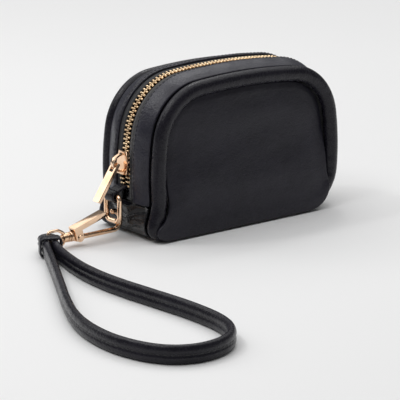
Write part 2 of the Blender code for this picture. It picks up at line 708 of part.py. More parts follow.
def build_clasp(ring_hinge):
    """Hook body, gate with its pin and spring, swivel eye and the post that holds it."""
    hinge = joint_empty("clasp_axis", (RING_X, 0, RING_FOOT_Z))
    hinge.parent = ring_hinge
    hinge.location = (0, 0, (RING_FOOT_Z - RING_BAR_HEIGHT) * MM)
    arm_z = RING_FOOT_Z - HOOK_RADIUS - 0.6
    low = (RING_X - 0.2, arm_z + HOOK_RADIUS)
    path = [(PIN_X + 1.0, PIN_Z - 0.3), (PIN_X + 8.0, arm_z - 0.1)] + arc(low, HOOK_RADIUS, -90, 0, 6)
    path += arc((low[0], low[1] + HOOK_RISE), HOOK_RADIUS, 0, HOOK_TIP_ANGLE, 8)
    body = place_part("clasp_body", solid(wire("clasp_body", path, HOOK_WIRE), rotation=(90, 0, 0)), hinge,
                      METAL_FINISH)
    neck = HEAD_X + CLASP_HEAD_LENGTH - 0.4
    tongue = arc((PIN_X, PIN_Z), CLASP_TONGUE_RADIUS, -90, 90, 10)
    tongue += [(neck, SWIVEL_HEIGHT + 2.0), (neck, SWIVEL_HEIGHT - 2.0)]
    cut_or_join(body, solid(flat_curve("clasp_tongue", [tongue], CLASP_TONGUE / 2), rotation=(90, 0, 0)), "UNION")
    cut_or_join(body, block("clasp_head", (CLASP_HEAD_LENGTH, CLASP_WIDTH, CLASP_HEAD_HEIGHT),
                            (HEAD_X + CLASP_HEAD_LENGTH / 2, 0, SWIVEL_HEIGHT)), "UNION")
    bore = POST_RADIUS + PIN_CLEARANCE
    cut_or_join(body, rod("clasp_post_bore", bore, 2 * (POST_DEPTH + GAP), (HEAD_X, 0, SWIVEL_HEIGHT), "X"),
                "DIFFERENCE")
    cut_or_join(body, rod("clasp_pin_hole", PIN_RADIUS + PIN_CLEARANCE, 2 * CLASP_WIDTH, (PIN_X, 0, PIN_Z)),
                "DIFFERENCE")
    build_gate(hinge)
    build_eye(hinge)


def place_part(name, mesh, hinge, finish):
    """Add a mesh made in world coordinates under a joint's empty."""
    bpy.context.view_layer.update()
    mesh.transform(Matrix.Translation(-hinge.matrix_world.translation))
    made = add(name, mesh, finish)
    made.parent = hinge
    made.location = (0, 0, 0)
    return made


def build_gate(clasp_hinge):
    """Channel-shaped gate with two lugs on the pin."""
    bpy.context.view_layer.update()
    hinge = joint_empty("gate_axis", (PIN_X, 0, PIN_Z))
    hinge.parent = clasp_hinge
    hinge.location = Vector((PIN_X, 0, PIN_Z)) * MM - clasp_hinge.matrix_world.translation
    bpy.context.view_layer.update()
    turn = Matrix.Translation(Vector((PIN_X, 0, PIN_Z)) * MM) @ Matrix.Rotation(-math.radians(GATE_SLOPE), 4, "Y")

    def sloped(mesh):
        """Turn a piece made about the pin onto the gate's slope."""
        mesh.transform(turn)
        return mesh

    top = GATE_OFFSET + GATE_HEIGHT
    side = [(-GATE_BACK, top)]
    side += arc((0, 0), GATE_LUG_RADIUS, 180, 360, 10)
    side += [(GATE_LUG_RADIUS, GATE_OFFSET), (GATE_FRONT, GATE_OFFSET), (GATE_FRONT - 0.6, top)]
    plate = solid(flat_curve("clasp_gate", [side], CLASP_WIDTH / 2), rotation=(90, 0, 0))
    gate = place_part("clasp_gate", sloped(plate), hinge, METAL_FINISH)
    low = -2 * GATE_LUG_RADIUS
    channel = block("gate_channel", (2 * (GATE_BACK + GATE_FRONT), CLASP_WIDTH - 2 * GATE_WALL,
                                     top - GATE_WALL - low), (0, 0, (top - GATE_WALL + low) / 2))
    cut_or_join(gate, sloped(channel), "DIFFERENCE")
    cut_or_join(gate, sloped(rod("gate_pin_hole", PIN_RADIUS + PIN_CLEARANCE, 2 * CLASP_WIDTH, (0, 0, 0))),
                "DIFFERENCE")
    pin_half = CLASP_WIDTH / 2 + PIN_CLEARANCE
    pin = turned("gate_pin", [(0, -pin_half - PIN_HEAD_LENGTH), (PIN_HEAD_RADIUS * 0.8, -pin_half - PIN_HEAD_LENGTH),
                              (PIN_HEAD_RADIUS, -pin_half), (PIN_RADIUS, -pin_half), (PIN_RADIUS, pin_half),
                              (PIN_HEAD_RADIUS, pin_half), (PIN_HEAD_RADIUS * 0.8, pin_half + PIN_HEAD_LENGTH),
                              (0, pin_half + PIN_HEAD_LENGTH)])
    place_turned(pin, clasp_hinge, (PIN_X, 0, PIN_Z), (90, 0, 0))
    path = [(PIN_X + x, PIN_Z + z) for x, z in SPRING_PATH]
    leaf = swept("gate_spring", path, rectangle(SPRING_THICKNESS, SPRING_WIDTH), False)
    place_part("gate_spring", solid(leaf, rotation=(90, 0, 0)), clasp_hinge, METAL_FINISH)


def turned(name, profile):
    """Turned piece: profile (radius, height) with a Screw modifier."""
    mesh = bpy.data.meshes.new(name)
    points = [(radius * MM, 0, height * MM) for radius, height in profile]
    mesh.from_pydata(points, [(i, i + 1) for i in range(len(points) - 1)], [])
    made = add(name, mesh, METAL_FINISH)
    lathe = made.modifiers.new("lathe", "SCREW")
    lathe.steps = lathe.render_steps = 16
    lathe.use_merge_vertices = True
    lathe.merge_threshold = 1e-5
    lathe.use_normal_flip = True
    return made


def place_turned(made, hinge, location, rotation):
    """Put a turned piece under a joint's empty."""
    bpy.context.view_layer.update()
    made.parent = hinge
    made.location = Vector(location) * MM - hinge.matrix_world.translation
    made.rotation_euler = [math.radians(angle) for angle in rotation]


def build_eye(clasp_hinge):
    """Collar and eye that turn on the post, and the strap beyond them."""
    hinge = joint_empty("swivel_axis", (COLLAR_X, 0, SWIVEL_HEIGHT))
    hinge.parent = clasp_hinge
    bpy.context.view_layer.update()
    hinge.location = Vector((COLLAR_X, 0, SWIVEL_HEIGHT)) * MM - clasp_hinge.matrix_world.translation
    middle = (EYE_NECK_X - EYE_LENGTH / 2, SWIVEL_HEIGHT)
    quarter = rounded_rectangle(EYE_HEIGHT, EYE_LENGTH, (EYE_BAR_RADIUS, EYE_NECK_RADIUS))
    loop = [(middle[0] + z, middle[1] - x) for x, z in quarter]
    eye = place_part("swivel_eye", solid(wire("swivel_eye", loop, EYE_WIRE, True), rotation=(90, 0, 0)), hinge,
                     METAL_FINISH)
    collar = rod("swivel_collar", COLLAR_RADIUS, COLLAR_LENGTH,
                 (COLLAR_X - COLLAR_LENGTH / 2, 0, SWIVEL_HEIGHT), "X")
    cut_or_join(eye, collar, "UNION")
    bore = rod("swivel_bore", POST_RADIUS + PIN_CLEARANCE, 3 * COLLAR_LENGTH,
               (COLLAR_X - COLLAR_LENGTH / 2, 0, SWIVEL_HEIGHT), "X")
    cut_or_join(eye, bore, "DIFFERENCE")
    shank = COLLAR_LENGTH + GAP
    base = -GAP - POST_DEPTH
    post = turned("swivel_post", [(0, base), (POST_RADIUS, base), (POST_RADIUS, shank), (POST_HEAD_RADIUS, shank),
                                  (POST_HEAD_RADIUS * 0.8, shank + POST_HEAD_LENGTH), (0, shank + POST_HEAD_LENGTH)])
    place_turned(post, clasp_hinge, (COLLAR_X, 0, SWIVEL_HEIGHT), (0, -90, 0))
    build_strap(hinge)


def strap_frame():
    """Eye bar centre, the folded strap's direction and its right-hand side."""
    turn = math.radians(180 + STRAP_TURN)
    along = Vector((math.cos(turn), math.sin(turn)))
    return Vector((EYE_BAR_X, 0.0)), along, Vector((-along.y, along.x))


def rounded_route(points, step):
    """Catmull-Rom curve through the points, cut into pieces of about one step."""
    vectors = [Vector(point) for point in points]
    padded = [2 * vectors[0] - vectors[1]] + vectors + [2 * vectors[-1] - vectors[-2]]
    route = []
    for a, b, c, d in zip(padded, padded[1:], padded[2:], padded[3:]):
        pieces = max(1, round((c - b).length / step))
        for index in range(pieces):
            t = index / pieces
            route.append(0.5 * (2 * b + (c - a) * t + (2 * a - 5 * b + 4 * c - d) * t * t
                                + (3 * b - a - 3 * c + d) * t ** 3))
    return route + [vectors[-1]]


def strap_path():
    """Plan of the strap's middle line: keeper, fold round the eye's bar, loop and back to the keeper."""
    bar, along, right = strap_frame()
    bend = EYE_WIRE + GAP + FOLD_THICKNESS / 2
    close = STRAP_THICKNESS / 2 + GAP / 2
    join = FOLD_LENGTH + KEEPER_LENGTH / 2
    start = [bar + along * join - right * close, bar + along * (FOLD_LENGTH - 0.5) - right * close]
    fold = []
    for index in range(9):
        angle = math.radians(180.0 * index / 8)
        fold.append(bar - along * bend * math.sin(angle) - right * bend * math.cos(angle))
    leave = [bar + along * (FOLD_LENGTH - 0.5) + right * close, bar + along * STRAP_EXIT + right * close]
    route = [bar + Vector(point) for point in STRAP_ROUTE]
    back = [bar + along * STRAP_EXIT - right * close, bar + along * (join + GAP) - right * close]
    return start, fold, leave, route, back


def build_strap(swivel_hinge):
    """Rolled strap as a loft whose section narrows where it folds round the eye, and its keeper."""
    bar, along, right = strap_frame()
    hinge = joint_empty("strap_axis", (bar.x, bar.y, SWIVEL_HEIGHT))
    hinge.parent = swivel_hinge
    bpy.context.view_layer.update()
    hinge.location = Vector((bar.x, bar.y, SWIVEL_HEIGHT)) * MM - swivel_hinge.matrix_world.translation
    start, fold, leave, route, back = strap_path()
    points = start + fold + rounded_route(leave + route + back, STRAP_STEP)
    points = [point for point, after in zip(points, points[1:] + [None]) if after is None or
              (after - point).length > 0.2]
    rings = []
    for index, point in enumerate(points):
        ahead = points[min(index + 1, len(points) - 1)]
        behind = points[max(index - 1, 0)]
        side = (ahead - behind).normalized()
        side = Vector((-side.y, side.x))
        from_bar = (point - bar).length
        free = smooth(from_bar, FOLD_LENGTH - 2.2, FOLD_LENGTH)
        loose = smooth(from_bar, FOLD_LENGTH + KEEPER_LENGTH, FOLD_LENGTH + KEEPER_LENGTH + 8)
        thick = (FOLD_THICKNESS + (STRAP_THICKNESS - FOLD_THICKNESS) * free) / 2
        height = FOLD_HEIGHT + (KEEPER_STRAP_HEIGHT - FOLD_HEIGHT) * free
        height += (STRAP_HEIGHT - KEEPER_STRAP_HEIGHT) * loose
        middle = SWIVEL_HEIGHT + (STRAP_HEIGHT / 2 + STRAP_LIFT - SWIVEL_HEIGHT) * loose
        groove = STRAP_GROOVE / (STRAP_THICKNESS / 2)
        half = [(0, 1), (0.72, 0.86), (1, 0.49), (groove, 0), (1, -0.49), (0.72, -0.86), (0, -1)]
        section = half + [(-x, z) for x, z in half[-2:0:-1]]
        rings.append([(point.x + side.x * x * thick, point.y + side.y * x * thick, middle + z * height / 2)
                      for x, z in section])
    place_part("wrist_strap", loft("wrist_strap", rings), hinge, LEATHER_FINISH)
    width = 2 * STRAP_THICKNESS + 3 * GAP
    inner = rounded_rectangle(width, KEEPER_STRAP_HEIGHT + 2 * GAP, (1.6, 1.6), steps=2)
    wall = 2 * KEEPER_THICKNESS
    outer = rounded_rectangle(width + wall, KEEPER_STRAP_HEIGHT + 2 * GAP + wall, (2.4, 2.4), steps=2)
    curve = flat_curve("strap_keeper", [outer, inner], KEEPER_LENGTH / 2)
    centre = bar + along * (FOLD_LENGTH + KEEPER_LENGTH / 2)
    keeper = add("strap_keeper", curve, LEATHER_FINISH)
    keeper.parent = hinge
    keeper.location = (centre - bar).to_3d() * MM
    keeper.rotation_euler = (math.radians(90), 0, math.radians(90 + STRAP_TURN))


clear_scene()
PARTS = new_collection("wristlet_wallet")
GUIDES = new_collection("guides")
LEATHER_FINISH = material("black_leather", (0.02, 0.02, 0.023), 0.42)
LINING_FINISH = material("black_lining", (0.03, 0.03, 0.033), 0.8)
FOAM_FINISH = material("padding_foam", (0.35, 0.35, 0.36), 0.9)
CORD_FINISH = material("filler_cord", (0.6, 0.58, 0.55), 0.9)
TAPE_FINISH = material("zip_tape", (0.015, 0.015, 0.017), 0.75)
METAL_FINISH = material("light_gold", (0.9, 0.66, 0.46), 0.2, 1.0)

for side_name, side_facing in (("front", 1.0), ("back", -1.0)):
    build_face(side_name, side_facing)
build_gusset()
build_slider()
build_clasp(build_ring())
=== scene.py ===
"""Looks of a small domed wristlet wallet: padded leather pouch, metal zip, swivel clasp and rolled strap.

The pouch stands on Z = 0 with its front towards -Y and its zip pull, ring and strap at -X.
Shapes are worked out in millimetres and scaled to metres where each mesh is made.
"""
from __future__ import annotations

import json
import logging
import math
from dataclasses import dataclass, field
from enum import Enum

import bmesh
import bpy
import numpy as np
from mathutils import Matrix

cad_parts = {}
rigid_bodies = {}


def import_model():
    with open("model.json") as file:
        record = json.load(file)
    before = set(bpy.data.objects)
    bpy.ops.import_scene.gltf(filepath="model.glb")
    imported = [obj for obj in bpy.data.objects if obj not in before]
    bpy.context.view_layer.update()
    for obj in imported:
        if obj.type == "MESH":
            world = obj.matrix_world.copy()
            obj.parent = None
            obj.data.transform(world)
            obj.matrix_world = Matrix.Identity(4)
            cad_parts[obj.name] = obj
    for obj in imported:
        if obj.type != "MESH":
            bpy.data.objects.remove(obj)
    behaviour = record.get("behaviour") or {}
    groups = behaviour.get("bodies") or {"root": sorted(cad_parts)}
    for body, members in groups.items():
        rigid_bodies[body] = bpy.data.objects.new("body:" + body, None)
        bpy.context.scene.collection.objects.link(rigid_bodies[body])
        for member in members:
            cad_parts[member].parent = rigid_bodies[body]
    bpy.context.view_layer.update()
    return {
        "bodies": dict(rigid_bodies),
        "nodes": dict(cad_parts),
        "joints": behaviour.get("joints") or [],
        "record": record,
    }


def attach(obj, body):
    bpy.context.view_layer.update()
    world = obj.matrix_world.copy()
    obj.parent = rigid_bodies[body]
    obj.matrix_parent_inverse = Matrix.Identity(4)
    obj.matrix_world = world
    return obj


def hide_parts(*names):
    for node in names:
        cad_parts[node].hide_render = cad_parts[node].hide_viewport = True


LOG = logging.getLogger("wristlet")
MM = 0.001
Array = np.ndarray


class Side(Enum):
    """Front or back of the pouch; the value is the sign of -Y."""

    FRONT = 1.0
    BACK = -1.0

    @property
    def word(self) -> str:
        """Name used in the pieces' names."""
        return self.name.lower()


# ---------------------------------------------------------------- shape functions


def ease(value: Array, low: float, high: float) -> Array:
    """Smooth step: share s of the way from low to high, then s * s * (3 - 2 s).

    Args:
        value: Numbers to ease.
        low: Where the step starts.
        high: Where the step ends.

    Returns:
        Numbers from 0 to 1.
    """
    share = np.clip((np.asarray(value, float) - low) / (high - low), 0.0, 1.0)
    return share * share * (3 - 2 * share)


def even(points: Array, count: int, closed: bool = False) -> Array:
    """Evenly spaced points: the line's length is summed and each coordinate read at equal steps of it.

    Args:
        points: Points along a line.
        count: Number of points to return.
        closed: Whether the line returns to its first point.

    Returns:
        Array of count points.
    """
    line = np.vstack([points, points[:1]]) if closed else points
    lengths = np.r_[0.0, np.cumsum(np.linalg.norm(np.diff(line, axis=0), axis=1))]
    stations = np.linspace(0.0, lengths[-1], count, endpoint=not closed)
    return np.stack([np.interp(stations, lengths, line[:, axis]) for axis in range(line.shape[1])], axis=1)


def rounded_line(points: Array, per_leg: int = 10) -> Array:
    """Catmull-Rom line: a cubic through each pair of points whose slope is half the neighbours' difference.

    Args:
        points: Points the line goes through.
        per_leg: Points to make on each leg.

    Returns:
        Points along the line.
    """
    ends = np.vstack([2 * points[0] - points[1], points, 2 * points[-1] - points[-2]])
    a, b, c, d = (ends[step:len(ends) - 3 + step][:, None, :] for step in range(4))
    t = np.linspace(0.0, 1.0, per_leg, endpoint=False)[None, :, None]
    line = 0.5 * (2 * b + (c - a) * t + (2 * a - 5 * b + 4 * c - d) * t ** 2
                  + (3 * b - a - 3 * c + d) * t ** 3)
    return np.vstack([line.reshape(-1, points.shape[1]), points[-1:]])


def headings(points: Array, closed: bool = False) -> Array:
    """Unit directions along a line: the difference of each point's two neighbours.

    Args:
        points: Points along a line.
        closed: Whether the line returns to its first point.

    Returns:
        One unit vector for each point.
    """
    way = np.roll(points, -1, 0) - np.roll(points, 1, 0) if closed else np.gradient(points, axis=0)
    return way / np.linalg.norm(way, axis=1, keepdims=True)


def beside(way: Array) -> Array:
    """Directions in a plane, each turned a quarter to its right: (a, b) becomes (b, -a)."""
    return np.stack([way[:, 1], -way[:, 0]], axis=1)


def travel(path: Array) -> Array:
    """Distance of each point from the first one, for points that are evenly spaced."""
    return np.linspace(0.0, np.linalg.norm(np.diff(path, axis=0), axis=1).sum(), len(path))


def circle(sides: int, start: float = 0.0) -> Array:
    """Points (cosine, sine) evenly round a circle of radius 1, from a start angle in radians."""
    turn = np.linspace(0, 2 * math.pi, sides, endpoint=False) + start
    return np.stack([np.cos(turn), np.sin(turn)], axis=1)


def blunt(numbers: Array, power: float) -> Array:
    """Numbers from -1 to 1 raised to a power with their signs kept, which squares off a circle."""
    return np.sign(numbers) * np.abs(numbers) ** power


def arc(centre: tuple[float, float], radius: float, start: float, end: float, count: int) -> Array:
    """Points on an arc: centre plus radius times (cosine, sine) of evenly stepped degrees.

    Args:
        centre: Middle of the arc.
        radius: Its radius.
        start: First angle in degrees.
        end: Last angle in degrees.
        count: Number of points.

    Returns:
        Array of points.
    """
    angle = np.radians(np.linspace(start, end, count))
    return np.stack([centre[0] + radius * np.cos(angle), centre[1] + radius * np.sin(angle)], axis=1)


def ripple(where: Array, waves: tuple[tuple[float, float, float], ...]) -> Array:
    """Sum of sines: each wave gives height * sin(2 pi where / length + phase).

    Args:
        where: Distance along the surface in millimetres.
        waves: Height, length and phase of each wave.

    Returns:
        Heights in millimetres.
    """
    return sum(height * np.sin(2 * math.pi * where / length + phase) for height, length, phase in waves)


def carried(path: Array, outward: Array, sideways: Array, section: Array) -> Array:
    """Profile carried along a path: path + outward * first number + sideways * second number.

    Args:
        path: Stations in millimetres, one row each.
        outward: Unit vector for the profile's first number at each station.
        sideways: Unit vector for its second number.
        section: One profile (points, 2), or one for each station (stations, points, 2).

    Returns:
        Grid of points (stations, points, 3).
    """
    return (path[:, None, :] + section[..., 0:1] * outward[:, None, :]
            + section[..., 1:2] * sideways[:, None, :])


def linked(name: str, data: bpy.types.ID) -> bpy.types.Object:
    """New object that holds the given data, linked into the scene."""
    made = bpy.data.objects.new(name, data)
    bpy.context.scene.collection.objects.link(made)
    return made


def mesh_from(name: str, blocks: Array, ring: bool = False, tube: bool = True) -> bpy.types.Object:
    """Make one mesh of equal grids, with each open tube's ends closed by a flat face.

    Corner numbers run row by row; each quad joins a corner to the next in its row and in the next row.

    Args:
        name: Name of the piece.
        blocks: Grids of points in millimetres (grids, rows, columns, 3).
        ring: Whether the rows return to the first row.
        tube: Whether the columns return to the first column.

    Returns:
        The linked object, shaded smooth, with a UV map in millimetres along rows and columns.
    """
    count, rows, columns = blocks.shape[:3]
    index = np.arange(rows * columns).reshape(rows, columns)
    if ring:
        index = np.vstack([index, index[:1]])
    if tube:
        index = np.hstack([index, index[:, :1]])
    corner = np.arange(index.size).reshape(index.shape)
    quads, marks = (np.stack([n[:-1, :-1], n[1:, :-1], n[1:, 1:], n[:-1, 1:]], -1).reshape(-1, 4)
                    for n in (index, corner))
    shifts = (np.arange(count) * rows * columns)[:, None, None]
    faces = (quads[None] + shifts).reshape(-1, 4).tolist()
    if tube and not ring:
        caps = np.stack([index[0, :columns][::-1], index[-1, :columns]])
        faces += (caps[None] + shifts).reshape(-1, columns).tolist()
    mesh = bpy.data.meshes.new(name)
    mesh.from_pydata((blocks.reshape(-1, 3) * MM).tolist(), [], faces)
    first = blocks[0]
    along = np.r_[0.0, np.cumsum(np.linalg.norm(np.diff(first, axis=0), axis=2).mean(axis=1))]
    across = np.r_[0.0, np.cumsum(np.linalg.norm(np.diff(first, axis=1), axis=2).mean(axis=0))]
    along, across = (np.append(line, 2 * line[-1] - line[-2]) for line in (along, across))
    rows_at, columns_at = along[:index.shape[0]], across[:index.shape[1]]
    flat = np.stack(np.meshgrid(rows_at, columns_at, indexing="ij"), -1).reshape(-1, 2)
    uv = np.zeros((len(mesh.loops), 2))
    side = np.tile(flat[marks.ravel()], (count, 1))
    uv[:len(side)] = side
    mesh.uv_layers.new(name="cut").data.foreach_set("uv", uv.ravel())
    made = linked(name, mesh)
    face_outwards(mesh)
    return made


def face_outwards(mesh: bpy.types.Mesh) -> None:
    """Turn every face of a closed mesh outwards and shade it smooth.

    Args:
        mesh: Mesh to change.
    """
    shape = bmesh.new()
    shape.from_mesh(mesh)
    bmesh.ops.recalc_face_normals(shape, faces=shape.faces)
    shape.to_mesh(mesh)
    shape.free()
    mesh.polygons.foreach_set("use_smooth", [True] * len(mesh.polygons))


def bevelled(piece: bpy.types.Object, width: float, segments: int = 3) -> None:
    """Round the sharp edges of a piece and keep its flats flat.

    Args:
        piece: Piece with sharp edges.
        width: Bevel width in millimetres.
        segments: Steps across the bevel.
    """
    edge = piece.modifiers.new("edges", "BEVEL")
    edge.width = width * MM
    edge.segments = segments
    edge.limit_method = "ANGLE"
    edge.angle_limit = math.radians(35)
    edge.harden_normals = True


def plate(name: str, outline: Array, half: float, origin: Array, right: Array, up: Array) -> bpy.types.Object:
    """Flat plate: the outline is laid on two unit vectors and moved half its thickness each way.

    Args:
        name: Name of the piece.
        outline: Corners (points, 2) in millimetres, in order.
        half: Half of the thickness.
        origin: Where the outline's (0, 0) lies.
        right: Unit vector of its first number.
        up: Unit vector of its second number.

    Returns:
        The plate.
    """
    face = origin + outline[:, 0:1] * right + outline[:, 1:2] * up
    normal = np.cross(right, up)
    grid = np.stack([face - normal * half, face + normal * half])
    return mesh_from(name, grid[None])


def wire(name: str, path: Array, radius: Array | float, ring: bool = False,
         sides: int = 24) -> bpy.types.Object:
    """Round wire in the XZ plane: a circle carried along the path's normal and Y.

    Args:
        name: Name of the piece.
        path: Points (x, z) in millimetres.
        radius: Wire radius, one for all or one for each point.
        ring: Whether the wire closes on itself.
        sides: Sides of the circle.

    Returns:
        The wire.
    """
    way = headings(path, ring)
    line = np.stack([path[:, 0], np.zeros(len(path)), path[:, 1]], axis=1)
    normal = np.stack([way[:, 1], np.zeros(len(path)), -way[:, 0]], axis=1)
    depth = np.tile([0.0, 1.0, 0.0], (len(path), 1))
    section = np.broadcast_to(radius, len(path))[:, None, None] * circle(sides)
    return mesh_from(name, carried(line, normal, depth, section)[None], ring)


def turned(name: str, profile: Array, middle: tuple[float, float], sides: int = 40) -> bpy.types.Object:
    """Turned piece about a line along X: a circle of the profile's radius stands at each of its places.

    Args:
        name: Name of the piece.
        profile: Points (place along X, radius) in millimetres.
        middle: Start (x, z) of the axis.
        sides: Sides of the circle.

    Returns:
        The piece.
    """
    spokes = np.column_stack([np.zeros(sides), circle(sides)])
    start = np.array([middle[0], 0.0, middle[1]])
    grid = start + profile[:, None, 0:1] * [1.0, 0.0, 0.0] + profile[:, None, 1:2] * spokes[None]
    return mesh_from(name, grid[None])


def softened(frame: dict, node: str, name: str, width: float) -> bpy.types.Object:
    """Copy of a carried CAD node with its flats joined and its sharp edges rounded.

    Args:
        frame: The loaded frame.
        node: CAD node name.
        name: Name of the new piece.
        width: Bevel width in millimetres.

    Returns:
        The new piece.
    """
    source = frame["nodes"][node]
    shape = bmesh.new()
    shape.from_mesh(source.data)
    shape.transform(source.matrix_world)
    bmesh.ops.remove_doubles(shape, verts=shape.verts, dist=0.01 * MM)
    bmesh.ops.dissolve_limit(shape, angle_limit=math.radians(2), verts=shape.verts, edges=shape.edges)
    mesh = bpy.data.meshes.new(name)
    shape.to_mesh(mesh)
    shape.free()
    mesh.polygons.foreach_set("use_smooth", [True] * len(mesh.polygons))
    made = linked(name, mesh)
    bevelled(made, width)
    return made


def stitches(name: str, places: Array, along: Array, out: Array, length: float,
             radius: float) -> bpy.types.Object:
    """Row of sewn stitches: thin spindles whose middles stand proud and whose ends sink in.

    At a share s from -1 to 1 along a stitch its thickness is radius * sqrt(1.08 - s^2), at most the radius,
    and its middle lies radius * (0.8 (1 - s^2) - 0.3) above its place.

    Args:
        name: Name of the piece.
        places: Middle of each stitch in millimetres.
        along: Unit direction of each stitch.
        out: Unit direction away from the leather.
        length: Length of one stitch.
        radius: Thread radius.

    Returns:
        All the stitches as one mesh.
    """
    share = np.array([-1.0, -0.75, 0.0, 0.75, 1.0])[None, :, None, None]
    spin = circle(6)[None, None]
    thick = radius * np.sqrt(np.clip(1.08 - share ** 2, 0.0, 1.0))
    across = np.cross(along, out)[:, None, None, :]
    middle = places[:, None, None, :] + along[:, None, None, :] * share * length / 2
    rise = out[:, None, None, :] * (radius * 0.8 * (1 - share ** 2) - radius * 0.3)
    blocks = middle + rise + thick * (spin[..., 0:1] * across + spin[..., 1:2] * out[:, None, None, :])
    return mesh_from(name, blocks)


# ---------------------------------------------------------------- shader writing


class Value:
    """A shader socket that takes part in Python sums; each sum adds a Math node."""

    def __init__(self, nodes: "Nodes", socket: bpy.types.NodeSocket) -> None:
        """Keep the socket and the tree that it belongs to."""
        self.nodes = nodes
        self.socket = socket

    def math(self, operation: str, other: "Value | float", swap: bool = False) -> "Value":
        """Join this value and another with one Math node.

        Args:
            operation: Math node operation.
            other: Second value.
            swap: Whether the second value comes first.

        Returns:
            The result.
        """
        first, second = (other, self) if swap else (self, other)
        return self.nodes.add("ShaderNodeMath", {"operation": operation}, {0: first, 1: second})

    def __add__(self, other: "Value | float") -> "Value":
        """Sum."""
        return self.math("ADD", other)

    def __sub__(self, other: "Value | float") -> "Value":
        """Difference."""
        return self.math("SUBTRACT", other)

    def __rsub__(self, other: float) -> "Value":
        """Difference from a number."""
        return self.math("SUBTRACT", other, swap=True)

    def __mul__(self, other: "Value | float") -> "Value":
        """Product."""
        return self.math("MULTIPLY", other)

    def sine(self) -> "Value":
        """Sine."""
        return self.nodes.add("ShaderNodeMath", {"operation": "SINE"}, {0: self})

    __radd__ = __add__
    __rmul__ = __mul__


class Nodes:
    """Node tree of one material, with one method that adds any node."""

    def __init__(self, name: str) -> None:
        """Start a material whose Principled shader is ready."""
        self.material = bpy.data.materials.new(name)
        self.material.use_nodes = True
        self.tree = self.material.node_tree
        self.shader = self.tree.nodes["Principled BSDF"]

    def add(self, kind: str, settings: dict | None = None, inputs: dict | None = None,
            output: int | str = 0) -> Value:
        """Add a node, set it up and fill its sockets.

        Args:
            kind: Node type.
            settings: Node properties; "stops" fills a colour ramp.
            inputs: Values or links by socket name or number.
            output: Socket to return.

        Returns:
            The chosen output.
        """
        node = self.tree.nodes.new(kind)
        for key, value in (settings or {}).items():
            if key == "stops":
                self.fill_ramp(node, value)
            else:
                setattr(node, key, value)
        for key, value in (inputs or {}).items():
            self.feed(node.inputs[key], value)
        return Value(self, node.outputs[output])

    def fill_ramp(self, node: bpy.types.Node, stops: list[tuple[float, float]]) -> None:
        """Give a ramp its grey stops.

        Args:
            node: Colour ramp node.
            stops: Position and grey level of each stop.
        """
        while len(node.color_ramp.elements) < len(stops):
            node.color_ramp.elements.new(0.5)
        for element, (place, level) in zip(node.color_ramp.elements, stops):
            element.position = place
            element.color = (level, level, level, 1.0)

    def feed(self, socket: bpy.types.NodeSocket, value: object) -> None:
        """Link or set one socket.

        Args:
            socket: Input socket.
            value: A Value to link, or a number or tuple to set.
        """
        if isinstance(value, Value):
            self.tree.links.new(value.socket, socket)
        else:
            socket.default_value = value

    def noise(self, place: Value, scale: float, detail: float = 4.0, rough: float = 0.55) -> Value:
        """Noise at a scale in waves per metre or per unit of the given place."""
        return self.add("ShaderNodeTexNoise", {}, {"Vector": place, "Scale": scale, "Detail": detail,
                                                   "Roughness": rough})

    def cells(self, place: Value, scale: float) -> Value:
        """Distance inside rounded Voronoi cells."""
        return self.add("ShaderNodeTexVoronoi", {"feature": "SMOOTH_F1"}, {"Vector": place, "Scale": scale},
                        "Distance")

    def object_place(self) -> Value:
        """Object coordinates."""
        return self.add("ShaderNodeTexCoord", output="Object")

    def cut_place(self) -> Value:
        """Distances along and across the piece from its own UV map."""
        return self.add("ShaderNodeUVMap", {"uv_map": "cut"})

    def colours(self, share: Value, low: tuple[float, ...], high: tuple[float, ...]) -> Value:
        """Colour between two by a share."""
        return self.add("ShaderNodeMix", {"data_type": "RGBA"},
                        {0: share, 6: (*low, 1.0), 7: (*high, 1.0)}, 2)

    def stretched(self, share: Value, low: float, high: float) -> Value:
        """Share spread out so that low gives 0 and high gives 1."""
        return self.add("ShaderNodeValToRGB", {"stops": [(low, 0.0), (high, 1.0)]}, {0: share})

    def split(self, place: Value) -> tuple[Value, ...]:
        """The three numbers of a place."""
        node = self.add("ShaderNodeSeparateXYZ", {}, {0: place}).socket.node
        return tuple(Value(self, output) for output in node.outputs)

    def bump(self, height: Value, strength: float, distance: float, under: Value | None = None) -> Value:
        """Bump from a height, on top of another if one is given."""
        inputs: dict = {"Height": height, "Strength": strength, "Distance": distance}
        if under is not None:
            inputs["Normal"] = under
        return self.add("ShaderNodeBump", {}, inputs)

    def finish(self, **inputs: object) -> bpy.types.Material:
        """Feed the shader; underscores stand for spaces in socket names.

        Args:
            inputs: Values or links by socket name.

        Returns:
            The material.
        """
        for key, value in inputs.items():
            self.feed(self.shader.inputs[key.replace("_", " ")], value)
        return self.material


